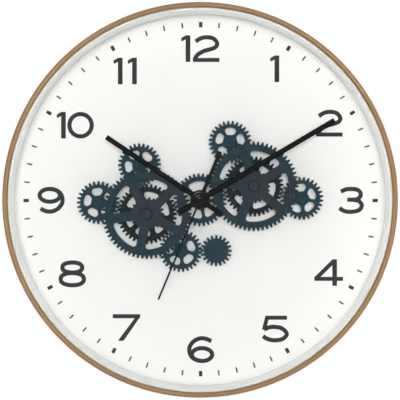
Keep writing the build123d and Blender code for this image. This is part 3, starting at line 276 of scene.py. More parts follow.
@dataclass(frozen=True)
class PlanedPine:
    """Bare planed softwood blocks: straight bands of early and late wood along their length."""

    name: str = "planed_pine"
    pale: str = "D9BC8C"
    dark: str = "B88E57"
    ring_mm: float = 2.6
    ring_rise: Point = (0.42, 0.62)
    lines_per_ring: float = 6.0
    line_rise: Point = (0.5, 0.7)
    line_share: Point = (0.0, 0.35)
    line_bump: Point = (0.08, 0.7)
    drawn_out: Place = (0.06, 1.0, 1.0)
    rough: float = 0.68

    def make(self) -> bpy.types.Material:
        """Lays bands across the depth, stretched along X.

        Returns:
            The finished material.
        """
        s = Sheet(self.name)
        place = s.add("ShaderNodeMapping", {"Vector": s.place, "Scale": self.drawn_out})[0]
        wood = {"Vector": place, "Scale": rate(self.ring_mm), "Detail": 3.0, "Distortion": 0.8}
        rings = s.add(NOISE, wood)[0]
        fine = {"Vector": place, "Scale": rate(self.ring_mm / self.lines_per_ring), "Detail": 2.0}
        lines = s.add(NOISE, fine)[0]
        colour = s.lay(self.pale, self.dark, rings, self.ring_rise)
        colour = s.lay(colour, self.dark, lines, self.line_rise, self.line_share)
        return s.finished(lines, self.line_bump, Base_Color=colour, Roughness=self.rough)


@dataclass(frozen=True)
class Moulded:
    """Injection-moulded plastic: spark texture, flow clouds, painted sheen, painted light on bevels, painted
    shade on fronts.
    """

    name: str
    code: str
    cloud: str
    rough: float
    shine: float = 0.5
    spark_mm: float = 0.5
    depth_mm: float = 0.02
    cloud_mm: float = 22.0
    mottle: float = 0.0
    # Colour of the painted sheen patches, a painted reflection.
    painted_sheen: str = "FFFFFF"
    painted_sheen_mm: tuple[Place, ...] = ()
    # Colour painted on faces that look to the front: painted shade.
    edge: str = ""
    # How much lighter bevel facets are painted: painted light.
    bevel: float = 1.0
    painted_sheen_core: float = 0.3
    cloud_rise: Point = (0.35, 0.7)
    patches_per_cloud: float = 5.0
    rough_spread: float = 0.05
    spark_share: float = 0.6

    def make(self) -> bpy.types.Material:
        """Mixes clouds, painted sheen and painted light and shade into the colour, and a fine grain into
        roughness and bump.

        Returns:
            The finished material.
        """
        s = Sheet(self.name)
        flow = {"Vector": s.place, "Scale": rate(self.cloud_mm), "Detail": 2.0}
        clouds = s.add(NOISE, flow)[0]
        # The spark texture is drawn coarser than a real one, so that it shows.
        spark = s.add(NOISE, {**flow, "Scale": rate(self.spark_mm)})[0]
        colour = s.lay(self.code, self.cloud, clouds, self.cloud_rise)
        # Painted sheen: lighter patches round given spots stand in for reflected light.
        for x, z, reach in self.painted_sheen_mm:
            sheen_at = (x * MM, 0.0, z * MM)
            away = s.add(VECTORS, (s.flat(), sheen_at), operation=Op.DISTANCE)["Value"]
            colour = s.lay(colour, self.painted_sheen, away, (self.painted_sheen_core * reach * MM, reach * MM), FALLING)
        # Painted light: facets on a bevel get a lighter colour, to offset the shade that falls on them.
        if self.bevel > 1.0:
            front = s.facing("True Normal")
            rise = s.add(RANGE, (front, *BEVEL_STARTS, 1.0, self.bevel))[0]
            fall = s.add(RANGE, (front, *BEVEL_ENDS, self.bevel, 1.0))[0]
            bevel_light_gain = s.add(MATHS, (rise, fall), operation=Op.MINIMUM)[0]
            colour = s.add(VECTORS, {0: colour, "Scale": bevel_light_gain}, operation=Op.SCALE)[0]
        # Painted shade: faces that look to the front get the darker edge colour.
        if self.edge:
            colour = s.lay(colour, self.edge, s.facing("True Normal"), FRONT_ENDS, FALLING)
        if self.mottle:
            patch_mm = self.cloud_mm / self.patches_per_cloud
            patches = s.add(NOISE, {**flow, "Scale": rate(patch_mm), "Detail": 3.0})[0]
            gain = s.add(RANGE, (patches, *USUAL, 1.0 - self.mottle, 1.0 + self.mottle))[0]
            colour = s.add(VECTORS, {0: colour, "Scale": gain}, operation=Op.SCALE)[0]
        spread = (self.rough - self.rough_spread, self.rough + self.rough_spread)
        rough = s.add(RANGE, (spark, *USUAL, *spread))[0]
        bump = (self.depth_mm, self.spark_share)
        return s.finished(
            spark, bump, Base_Color=colour, Roughness=rough, Specular_IOR_Level=self.shine, IOR=1.49
        )


@dataclass(frozen=True)
class PaintedSheet:
    """Aluminium sheet in thin black paint: satin, faint orange peel, painted light on flats and bare bevels
    on the hub.
    """

    name: str = "black_painted_aluminium"
    code: str = "08090A"
    worn: str = "0B0D0E"
    # Colour of flats that look squarely to the front or back: painted light.
    flat_painted_light: str = "111416"
    bare: str = "BCBEC0"
    bare_rough: float = 0.2
    hub_mm: float = 8.3
    hub_edge_mm: float = 0.1
    worn_side: Place = (-0.42, 0.0, 0.91)
    worn_from: Point = (0.80, 0.96)
    flat_from: Point = (0.985, 0.998)
    slope_from: Point = (0.3, 0.4)
    slope_to: Point = (0.8, 0.9)
    peel_mm: float = 0.9
    peel_rise: Point = (0.4, 0.7)
    peel_bump: Point = (0.015, 0.5)
    rough: Point = (0.36, 0.44)
    shine: float = 0.12

    def bared(self, s: Sheet, level: Socket) -> Socket:
        """Finds where the paint is gone: on slopes of the hub, on its worn side.

        Args:
            s: The sheet that gets the nodes.
            level: How squarely the surface looks to the front or the back.

        Returns:
            The socket of the bare share.
        """
        flat = s.flat()
        radius = s.add(VECTORS, (flat,), operation=Op.LENGTH)["Value"]
        way = s.add(VECTORS, (flat,), operation=Op.NORMALIZE)[0]
        side = s.add(VECTORS, (way, self.worn_side), operation=Op.DOT)["Value"]
        hub = ((self.hub_mm - self.hub_edge_mm) * MM, self.hub_mm * MM)
        bare = s.add(RANGE, (level, *self.slope_to, *FALLING))[0]
        for limits in (
            (level, *self.slope_from, *RISING), (radius, *hub, *FALLING), (side, *self.worn_from, *RISING),
        ):
            limit = s.add(RANGE, limits)[0]
            bare = s.add(MATHS, (bare, limit), operation=Op.MULTIPLY)[0]
        return bare

    def make(self) -> bpy.types.Material:
        """Varies the paint's tone, ripples it, paints its flats lighter as painted light and bares some
        bevels.

        Returns:
            The finished material.
        """
        s = Sheet(self.name)
        # The orange peel is drawn coarser than a real one, so that it shows.
        skin = {"Vector": s.place, "Scale": rate(self.peel_mm), "Detail": 2.0}
        peel = s.add(NOISE, skin)[0]
        colour = s.lay(self.code, self.worn, peel, self.peel_rise)
        level = s.add(MATHS, (s.facing("Normal"),), operation=Op.ABSOLUTE)[0]
        # Painted light: flats that look to the front or back are painted lighter.
        colour = s.lay(colour, self.flat_painted_light, level, self.flat_from)
        bare = self.bared(s, level)
        colours = {0: bare, FIRST_COLOUR: colour, SECOND_COLOUR: linear(self.bare)}
        colour = s.add(MIX, colours, data_type="RGBA", clamp_result=True)[MIXED_COLOUR]
        painted = s.add(RANGE, (peel, *USUAL, *self.rough))[0]
        levels = {0: bare, FIRST_NUMBER: painted, SECOND_NUMBER: self.bare_rough}
        rough = s.add(MIX, levels)[0]
        return s.finished(
            peel, self.peel_bump, Base_Color=colour, Metallic=bare, Roughness=rough,
            Specular_IOR_Level=self.shine,
        )


@dataclass(frozen=True)
class FloatGlass:
    """Clear float glass, polished: it shows what is behind it and mirrors a little."""

    name: str = "float_glass"
    code: str = "FBFCFB"
    ior: float = 1.5

    def make(self) -> bpy.types.Material:
        """Makes flat panes that let the lamps through, so that the dial is lit behind them.

        Returns:
            The finished material.
        """
        s = Sheet(self.name)
        flat = s.add("ShaderNodeNewGeometry")["True Normal"]
        pane = {"Base Color": linear(self.code), "Roughness": 0.0, "IOR": self.ior, "Normal": flat}
        glass = s.add("ShaderNodeBsdfPrincipled", {**pane, "Transmission Weight": 1.0})[0]
        clear = s.add("ShaderNodeBsdfTransparent")[0]
        path = s.add("ShaderNodeLightPath")
        rays = (path["Is Glossy Ray"], path["Is Transmission Ray"])
        through = s.add(MATHS, rays, operation=Op.SUBTRACT, use_clamp=True)[0]
        for ray in ("Is Shadow Ray", "Is Diffuse Ray"):
            through = s.add(MATHS, (through, path[ray]), operation=Op.MAXIMUM)[0]
        mixed = s.add("ShaderNodeMixShader", (through, glass, clear))[0]
        s.add("ShaderNodeOutputMaterial", (mixed,))
        return s.material


@dataclass(frozen=True)
class Metal:
    """Turned, plated or rolled metal: a bright base with fine tool lines and a few dull spots."""

    name: str
    code: str
    dull: str
    rough: float
    rough_less: float = 0.08
    rough_more: float = 0.1
    line_mm: float = 0.35
    line_bump: Point = (0.01, 0.5)
    drawn_out: Place = (0.15, 1.0, 0.15)
    spot_mm: float = 5.0
    spot_rise: Point = (0.45, 0.75)

    def make(self) -> bpy.types.Material:
        """Draws lines across the depth and clouds the shine.

        Returns:
            The finished material.
        """
        s = Sheet(self.name)
        place = s.add("ShaderNodeMapping", {"Vector": s.place, "Scale": self.drawn_out})[0]
        # The tool lines are drawn coarser than real ones, so that they show.
        turned = {"Vector": place, "Scale": rate(self.line_mm), "Detail": 2.0}
        lines = s.add(NOISE, turned)[0]
        cloudy = {"Vector": s.place, "Scale": rate(self.spot_mm), "Detail": 3.0}
        spots = s.add(NOISE, cloudy)[0]
        colour = s.lay(self.code, self.dull, spots, self.spot_rise)
        spread = (self.rough - self.rough_less, self.rough + self.rough_more)
        rough = s.add(RANGE, (lines, *USUAL, *spread))[0]
        return s.finished(lines, self.line_bump, Base_Color=colour, Metallic=1.0, Roughness=rough)


@dataclass(frozen=True)
class CellSleeve:
    """Steel cell in a shrunk plastic sleeve: a dark sleeve, a pale band and bare steel at both ends."""

    name: str
    low_mm: float
    high_mm: float
    code: str = "2F3A42"
    band: str = "B9BDB8"
    steel: str = "B4B6B5"
    rim_mm: float = 1.0
    band_mm: float = 9.0
    edge_mm: float = 0.05
    wear_mm: float = 1.5
    wear_rise: Point = (0.55, 0.8)
    wear_share: Point = (0.0, 0.3)
    wear_bump: Point = (0.02, 0.4)
    rough: Point = (0.28, 0.4)

    def make(self) -> bpy.types.Material:
        """Picks sleeve, band or steel by the place along X.

        Returns:
            The finished material.
        """
        s = Sheet(self.name)
        along = s.add("ShaderNodeSeparateXYZ", (s.place,))["X"]
        start = self.low_mm + self.rim_mm
        end = self.high_mm - self.rim_mm
        band_at = end - self.band_mm
        low = s.add(RANGE, (along, start * MM, (start + self.edge_mm) * MM, *RISING))[0]
        high = s.add(RANGE, (along, (end - self.edge_mm) * MM, end * MM, *FALLING))[0]
        inside = s.add(MATHS, (low, high), operation=Op.MINIMUM)[0]
        scuffs = {"Vector": s.place, "Scale": rate(self.wear_mm), "Detail": 3.0}
        wear = s.add(NOISE, scuffs)[0]
        sleeve = s.lay(self.code, self.band, wear, self.wear_rise, self.wear_share)
        sleeve = s.lay(sleeve, self.band, along, (band_at * MM, (band_at + self.edge_mm) * MM))
        colours = {0: inside, FIRST_COLOUR: linear(self.steel), SECOND_COLOUR: sleeve}
        colour = s.add(MIX, colours, data_type="RGBA", clamp_result=True)[MIXED_COLOUR]
        metal = s.add(RANGE, (inside, *RISING, *FALLING))[0]
        rough = s.add(RANGE, (wear, *USUAL, *self.rough))[0]
        return s.finished(wear, self.wear_bump, Base_Color=colour, Metallic=metal, Roughness=rough)


@dataclass(frozen=True)
class Winding:
    """Enamelled copper wire wound in a close layer: fine ridges side by side along Z."""

    name: str = "enamelled_copper_winding"
    code: str = "A4572B"
    # Colour in the grooves between wires: painted shade.
    dark: str = "5E2C14"
    wire_mm: float = 0.5
    ridge_bump: Point = (0.1, 0.8)
    metallic: float = 0.6
    rough: float = 0.35

    def make(self) -> bpy.types.Material:
        """Draws the wires coarser than real ones, so that they show.

        Returns:
            The finished material.
        """
        s = Sheet(self.name)
        scale = 2 * math.pi / (WAVE_RATE * self.wire_mm * MM)
        layer = {"Vector": s.place, "Scale": scale, "Distortion": 0.3}
        wires = s.add("ShaderNodeTexWave", layer, bands_direction="Z")["Fac"]
        # The darker colour in the grooves between wires is painted shade.
        colours = {0: wires, FIRST_COLOUR: linear(self.dark), SECOND_COLOUR: linear(self.code)}
        colour = s.add(MIX, colours, data_type="RGBA", clamp_result=True)[MIXED_COLOUR]
        return s.finished(
            wires, self.ridge_bump, Base_Color=colour, Metallic=self.metallic, Roughness=self.rough
        )


@dataclass(frozen=True)
class Ink:
    """Screen-printed ink: a dark even film with a slight tone change and a fine tooth."""

    name: str
    code: str
    faint: str
    cloud_mm: float = 3.0
    cloud_rise: Point = (0.4, 0.7)
    tooth_mm: float = 0.4
    tooth_bump: Point = (0.01, 0.5)
    rough: float = 0.55
    shine: float = 0.3

    def make(self) -> bpy.types.Material:
        """Clouds the film a little.

        Returns:
            The finished material.
        """
        s = Sheet(self.name)
        clouds = {"Vector": s.place, "Scale": rate(self.cloud_mm), "Detail": 2.0}
        film = s.add(NOISE, clouds)[0]
        # The tooth is drawn coarser than a real one, so that it shows.
        grit = {"Vector": s.place, "Scale": rate(self.tooth_mm), "Detail": 1.0}
        tooth = s.add(NOISE, grit)[0]
        colour = s.lay(self.code, self.faint, film, self.cloud_rise)
        return s.finished(
            tooth, self.tooth_bump, Base_Color=colour, Roughness=self.rough, Specular_IOR_Level=self.shine
        )


def new_piece(name: str, mesh: bpy.types.Mesh, material: bpy.types.Material, body: str) -> None:
    """Links a mesh as a piece that rides on a body.

    Args:
        name: The piece's name.
        mesh: Its mesh, in the shared frame.
        material: Its finish.
        body: The body that it moves with.
    """
    piece = bpy.data.objects.new(name, mesh)
    bpy.context.scene.collection.objects.link(piece)
    mesh.materials.clear()
    mesh.materials.append(material)
    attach(piece, body)
    LOG.info("%s rides on %s, %d faces", name, body, len(mesh.polygons))


def smooth_path(knots: Path, steps: int = 6) -> Path:
    """Draws a smooth curve through a few points.

    Args:
        knots: The points that it passes through.
        steps: Short runs between two points.

    Returns:
        Points along the curve.
    """
    ends = [knots[0], *knots, knots[-1]]
    drawn = []
    for a, b, c, d in zip(ends, ends[1:], ends[2:], ends[3:]):
        for k in range(steps):
            t = k / steps
            drawn.append(tuple(
                0.5 * (2 * q + (r - p) * t + (2 * p - 5 * q + 4 * r - u) * t * t
                       + (3 * q - p - 3 * r + u) * t ** 3)
                for p, q, r, u in zip(a, b, c, d)
            ))
    return [*drawn, knots[-1]]


def ring_path(centre: Point, half: Point, power: float = 2.0, count: int = 48) -> Path:
    """Draws a closed oval, squarer than an ellipse at a power above 2.

    Args:
        centre: Its middle.
        half: Half its width and half its height.
        power: 2 for an ellipse, more for a squarer oval.
        count: Points round it.

    Returns:
        Points round the oval.
    """
    points = []
    for k in range(count):
        c = math.cos(2 * math.pi * k / count)
        s = math.sin(2 * math.pi * k / count)
        x = math.copysign(abs(c) ** (2 / power), c)
        z = math.copysign(abs(s) ** (2 / power), s)
        points.append((centre[0] + half[0] * x, centre[1] + half[1] * z))
    return points


def snap(point: Point) -> Point:
    """Rounds a point in millimetres, so that equal corners are found again."""
    return round(point[0], 5), round(point[1], 5)


@dataclass
class Figure:
    """One digit as strokes, closed rings and straight-edged slabs, in millimetres from its middle."""

    strokes: list[Path] = field(default_factory=list)
    rings: list[Path] = field(default_factory=list)
    slabs: list[Path] = field(default_factory=list)

    def turned(self) -> "Figure":
        """Gives the same figure turned by half a turn."""
        groups = (self.strokes, self.rings, self.slabs)
        return Figure(*([[(-x, -z) for x, z in path] for path in group] for group in groups))


@dataclass
class Digits:
    """The ten digits of a wide, even-stroked sans, in millimetres."""

    half_h: float = 13.85
    bar_w: float = 4.2
    stem_w: float = 4.9

    def bar(self, left: float, right: float, middle: float) -> Path:
        """Draws a level bar.

        Args:
            left: Its left end.
            right: Its right end.
            middle: The height of its middle.

        Returns:
            Its corners.
        """
        low = middle - self.bar_w / 2
        high = middle + self.bar_w / 2
        return [(left, low), (right, low), (right, high), (left, high)]

    def stem(self, x: float) -> Path:
        """Draws an upright stem of full height.

        Args:
            x: Its middle.

        Returns:
            Its corners.
        """
        left = x - self.stem_w / 2
        right = x + self.stem_w / 2
        return [(left, -self.half_h), (right, -self.half_h), (right, self.half_h), (left, self.half_h)]

    def draw(self) -> dict[str, Figure]:
        """Draws the digits.

        Returns:
            A figure for each digit.
        """
        six = Figure(
            strokes=[smooth_path([
                (11.0, 8.7), (6.4, 11.0), (0.6, 11.9), (-6.2, 9.6), (-11.0, 4.2), (-11.9, -1.4),
                (-9.9, -6.8), (-5.2, -10.4), (1.3, -11.7),
            ])],
            rings=[ring_path((1.3, -5.05), (10.6, 6.65))],
        )
        flag = [(-7.2, 10.9), (-6.6, 7.2), (-2.2, 9.7), (-2.2, self.half_h)]
        return {
            "0": Figure(rings=[ring_path((0.0, 0.0), (11.6, 11.6), 2.0, 64)]),
            "1": Figure(slabs=[self.stem(0.0), flag]),
            "2": Figure(
                strokes=[smooth_path([
                    (-10.9, 7.3), (-5.9, 10.5), (0.6, 11.8), (7.6, 10.4), (11.4, 5.7), (10.0, 1.8),
                    (5.4, -0.4), (-1.6, -2.3), (-7.4, -5.3), (-10.4, -8.3), (-11.8, -11.2),
                ])],
                slabs=[self.bar(-13.8, 13.9, -11.8)],
            ),
            "3": Figure(strokes=[
                smooth_path([
                    (-10.2, 9.0), (-5.2, 11.3), (1.1, 11.9), (7.4, 10.8), (10.6, 6.8), (8.9, 2.7),
                    (4.5, 0.9), (-3.6, 0.8),
                ]),
                smooth_path([
                    (2.0, 0.7), (8.6, -0.8), (11.6, -5.5), (8.4, -10.2), (0.3, -11.9), (-6.6, -11.0),
                    (-11.7, -7.9),
                ]),
            ]),
            "4": Figure(slabs=[
                self.stem(6.1),
                self.bar(-15.1, 14.8, -6.6),
                [(4.0, self.half_h), (-15.1, -4.9), (-8.9, -4.9), (4.0, 7.9)],
            ]),
            "5": Figure(
                strokes=[smooth_path([
                    (-11.5, -0.7), (-6.2, 1.6), (-0.1, 2.1), (7.2, 0.5), (12.2, -5.1), (7.9, -10.4),
                    (-0.8, -11.8), (-8.1, -10.3), (-12.6, -7.4),
                ])],
                slabs=[
                    self.bar(-9.9, 12.5, 11.7),
                    [(-10.0, 13.6), (-13.7, -0.6), (-9.3, -1.0), (-5.8, 13.6)],
                ],
            ),
            "6": six,
            "7": Figure(slabs=[
                self.bar(-14.3, 14.2, 11.85),
                [(14.2, 11.2), (9.6, 11.2), (-9.1, -13.8), (-3.0, -13.8)],
            ]),
            "8": Figure(rings=[
                ring_path((0.0, 6.6), (10.3, 5.2), 2.3),
                ring_path((0.0, -5.5), (12.1, 6.3), 2.3),
            ]),
            "9": six.turned(),
        }


@dataclass
class DialPrint:
    """Printed numbers and minute marks, as a film of ink that stands just proud of the dial."""

    film_mm: float = 0.10
    lift_mm: float = 0.015
    sunk_mm: float = 0.05
    pen_mm: float = 4.45
    mark_r_mm: float = 181.5
    mark_at_mm: Point = (0.6, 0.0)
    minute_mm: Point = (5.6, 1.65)
    hour_mm: Point = (5.6, 3.5)
    drift_mm: float = 0.69
    spots: tuple[tuple[str, float, float], ...] = (
        ("12", -0.5, 157.3), ("1", 77.5, 136.3), ("2", 134.4, 79.7), ("3", 156.6, -0.6),
        ("4", 133.9, -75.6), ("5", 78.0, -134.3), ("6", 0.7, -155.9), ("7", -76.5, -132.9),
        ("8", -132.9, -77.0), ("9", -155.0, -0.35), ("10", -129.6, 77.6), ("11", -78.1, 134.0),
    )
    offsets: dict[str, tuple[float, ...]] = field(default_factory=lambda: {
        "1": (2.4,), "10": (-12.5, 5.3), "11": (-4.9, 9.9), "12": (-12.1, 6.8),
    })

    def face_y(self) -> float:
        """Gives the Y of the dial's front face, in metres."""
        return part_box("dial_board")[0].y

    def outline(self, path: Path, closed: bool) -> tuple[Path, Path]:
        """Finds the two edges of a pen stroke.

        Args:
            path: The middle of the stroke.
            closed: True for a ring.

        Returns:
            Points along its left edge and along its right edge.
        """
        left = []
        right = []
        last = len(path) - 1
        for k, here in enumerate(path):
            before = path[k - 1] if k or closed else here
            after = path[(k + 1) % len(path)] if k < last or closed else here
            way = Vector((after[0] - before[0], after[1] - before[1])).normalized()
            side = Vector((-way.y, way.x)) * self.pen_mm / 2
            left.append((here[0] + side.x, here[1] + side.y))
            right.append((here[0] - side.x, here[1] - side.y))
        return left, right

    def patches(self, path: Path, closed: bool) -> list[Path]:
        """Cuts a pen stroke into four-sided patches.

        Args:
            path: The middle of the stroke.
            closed: True for a ring.

        Returns:
            The patches' corners, in order along the stroke.
        """
        left, right = self.outline(path, closed)
        count = len(path) if closed else len(path) - 1
        nexts = [(k, (k + 1) % len(path)) for k in range(count)]
        return [[left[i], left[j], right[j], right[i]] for i, j in nexts]

    def film(self, made: bmesh.types.BMesh, quads: list[Path], at: Point, order: int) -> None:
        """Adds a film of ink made of four-sided patches.

        Args:
            made: The mesh that gets it.
            quads: Patches in millimetres, in order along the film.
            at: Its place on the dial.
            order: How many films lie under it, so that none is level with another.
        """
        front = self.face_y() - (self.film_mm + order * self.lift_mm) * MM
        back = self.face_y() + self.sunk_mm * MM
        found: dict[Place, bmesh.types.BMVert] = {}
        edges: dict[tuple[Point, Point], int] = {}

        def vertex(point: Point, y: float) -> bmesh.types.BMVert:
            """Finds or makes the vertex of a corner.

            Args:
                point: The corner in millimetres.
                y: Its depth in metres.

            Returns:
                The vertex.
            """
            key = (*snap(point), y)
            if key not in found:
                found[key] = made.verts.new(((at[0] + point[0]) * MM, y, (at[1] + point[1]) * MM))
            return found[key]

        for quad in quads:
            for y in (front, back):
                made.faces.new([vertex(p, y) for p in quad])
            for a, b in zip(quad, [*quad[1:], quad[0]]):
                ends = tuple(sorted((snap(a), snap(b))))
                edges[ends] = edges.get(ends, 0) + 1
        for (a, b), uses in edges.items():
            if uses == 1:
                made.faces.new([vertex(a, front), vertex(b, front), vertex(b, back), vertex(a, back)])

    def numbers(self, ink: bpy.types.Material) -> None:
        """Prints the twelve numbers.

        Args:
            ink: Their finish.
        """
        digits = Digits().draw()
        made = bmesh.new()
        for text, x, z in self.spots:
            for digit, shift in zip(text, self.offsets.get(text, (0.0,))):
                figure = digits[digit]
                films = [self.patches(path, False) for path in figure.strokes]
                films += [self.patches(path, True) for path in figure.rings]
                films += [[slab] for slab in figure.slabs]
                for order, quads in enumerate(films):
                    self.film(made, quads, (x + shift, z), order)
        bmesh.ops.recalc_face_normals(made, faces=made.faces)
        mesh = bpy.data.meshes.new("dial_numbers")
        made.to_mesh(mesh)
        made.free()
        new_piece("dial_numbers", mesh, ink, CASE_BODY)

    def mark_tree(self) -> bpy.types.NodeTree:
        """Builds the tree that sets marks round the dial.

        Returns:
            A Geometry Nodes tree with named inputs for its sizes.
        """
        tree = bpy.data.node_groups.new("dial_marks", "GeometryNodeTree")
        ports = tree.interface
        ports.new_socket("Geometry", in_out="OUTPUT", socket_type="NodeSocketGeometry")
        for name, kind in (
            ("Count", "Int"), ("Skip Every", "Int"), ("Radius", "Float"), ("Length", "Float"),
            ("Width", "Float"), ("Thickness", "Float"), ("Drift", "Vector"), ("Place", "Vector"),
            ("Ink", "Material"),
        ):
            ports.new_socket(name, in_out="INPUT", socket_type=f"NodeSocket{kind}")
        n = Nodes(tree)
        given = n.add("NodeGroupInput")
        size = n.add("ShaderNodeCombineXYZ", (given["Length"], given["Width"], given["Thickness"]))[0]
        mark = n.add("GeometryNodeMeshCube", {"Size": size})[0]
        ring = n.add("GeometryNodeMeshCircle", {"Vertices": given["Count"], "Radius": given["Radius"]})[0]
        index = n.add("GeometryNodeInputIndex")[0]
        chosen = self.choice(n, index, given["Skip Every"])
        step = n.add(MATHS, (2 * math.pi, given["Count"]), operation=Op.DIVIDE)[0]
        angle = n.add(MATHS, (index, step), operation=Op.MULTIPLY)[0]
        turn = n.add("ShaderNodeCombineXYZ", {"Z": angle})[0]
        double = n.add(MATHS, (angle, 2.0), operation=Op.MULTIPLY)[0]
        across = n.add(MATHS, (double,), operation=Op.SINE)[0]
        along = n.add(MATHS, (double,), operation=Op.COSINE)[0]
        swing = n.add("ShaderNodeCombineXYZ", (across, along))[0]
        drift = n.add(VECTORS, (swing, given["Drift"]), operation=Op.MULTIPLY)[0]
        moved = n.add("GeometryNodeSetPosition", {"Geometry": ring, "Offset": drift})[0]
        copies = {"Points": moved, "Selection": chosen, "Instance": mark, "Rotation": turn}
        marks = n.add("GeometryNodeInstanceOnPoints", copies)[0]
        real = n.add("GeometryNodeRealizeInstances", (marks,))[0]
        upright = {"Geometry": real, "Translation": given["Place"], "Rotation": (math.pi / 2, 0, 0)}
        laid = n.add("GeometryNodeTransform", upright)[0]
        inked = n.add("GeometryNodeSetMaterial", {"Geometry": laid, "Material": given["Ink"]})[0]
        n.add("NodeGroupOutput", (inked,))
        return tree

    @staticmethod
    def choice(n: Nodes, index: Socket, skip: Socket) -> Socket:
        """Chooses the points that get a mark.

        Args:
            n: The tree that gets the nodes.
            index: A point's number.
            skip: Points whose number divides by this are left out, and 0 leaves out none.

        Returns:
            The choice's socket.
        """
        left_over = n.add(MATHS, (index, skip), operation=Op.MODULO)[0]
        kept = n.add("FunctionNodeCompare", (left_over, 0.5), data_type="FLOAT", operation=Op.ABOVE)[0]
        all_kept = n.add("FunctionNodeCompare", {2: skip, 3: 0}, data_type="INT", operation=Op.EQUAL)[0]
        return n.add("FunctionNodeBooleanMath", (kept, all_kept), operation=Op.EITHER)[0]

    def marks(self, name: str, ink: bpy.types.Material, count: int, skip: int, size: Point) -> None:
        """Prints a ring of marks.

        Args:
            name: The piece's name.
            ink: Its finish.
            count: Marks in a full ring.
            skip: Leaves out each mark whose number divides by this, or 0 for none.
            size: Length and width in millimetres.
        """
        tree = self.mark_tree()
        carrier = bpy.data.objects.new(f"{name}_carrier", bpy.data.meshes.new(f"{name}_carrier"))
        bpy.context.scene.collection.objects.link(carrier)
        nodes = carrier.modifiers.new("marks", "NODES")
        nodes.node_group = tree
        thick = (self.film_mm + self.sunk_mm) * MM
        height = self.face_y() + self.sunk_mm * MM - thick / 2
        place = (self.mark_at_mm[0] * MM, height, self.mark_at_mm[1] * MM)
        drift = (self.drift_mm * MM, -self.drift_mm * MM, 0.0)
        values = {
            "Count": count, "Skip Every": skip, "Radius": self.mark_r_mm * MM, "Length": size[0] * MM,
            "Width": size[1] * MM, "Thickness": thick, "Drift": drift, "Place": place, "Ink": ink,
        }
        for socket in tree.interface.items_tree:
            if socket.in_out == "INPUT":
                nodes[socket.identifier] = values[socket.name]
        graph = bpy.context.evaluated_depsgraph_get()
        mesh = bpy.data.meshes.new_from_object(carrier.evaluated_get(graph), depsgraph=graph)
        mesh.name = name
        carrier.modifiers.remove(nodes)
        bpy.data.objects.remove(carrier)
        bpy.data.node_groups.remove(tree)
        new_piece(name, mesh, ink, CASE_BODY)

    def build(self, ink: bpy.types.Material, grey: bpy.types.Material) -> None:
        """Prints the numbers, the hour marks and the minute marks.

        Args:
            ink: The dark ink.
            grey: The thinner ink of the minute marks.
        """
        self.numbers(ink)
        self.marks("hour_marks", ink, HOURS, 0, self.hour_mm)
        self.marks("minute_marks", grey, MINUTES, MINUTES // HOURS, self.minute_mm)


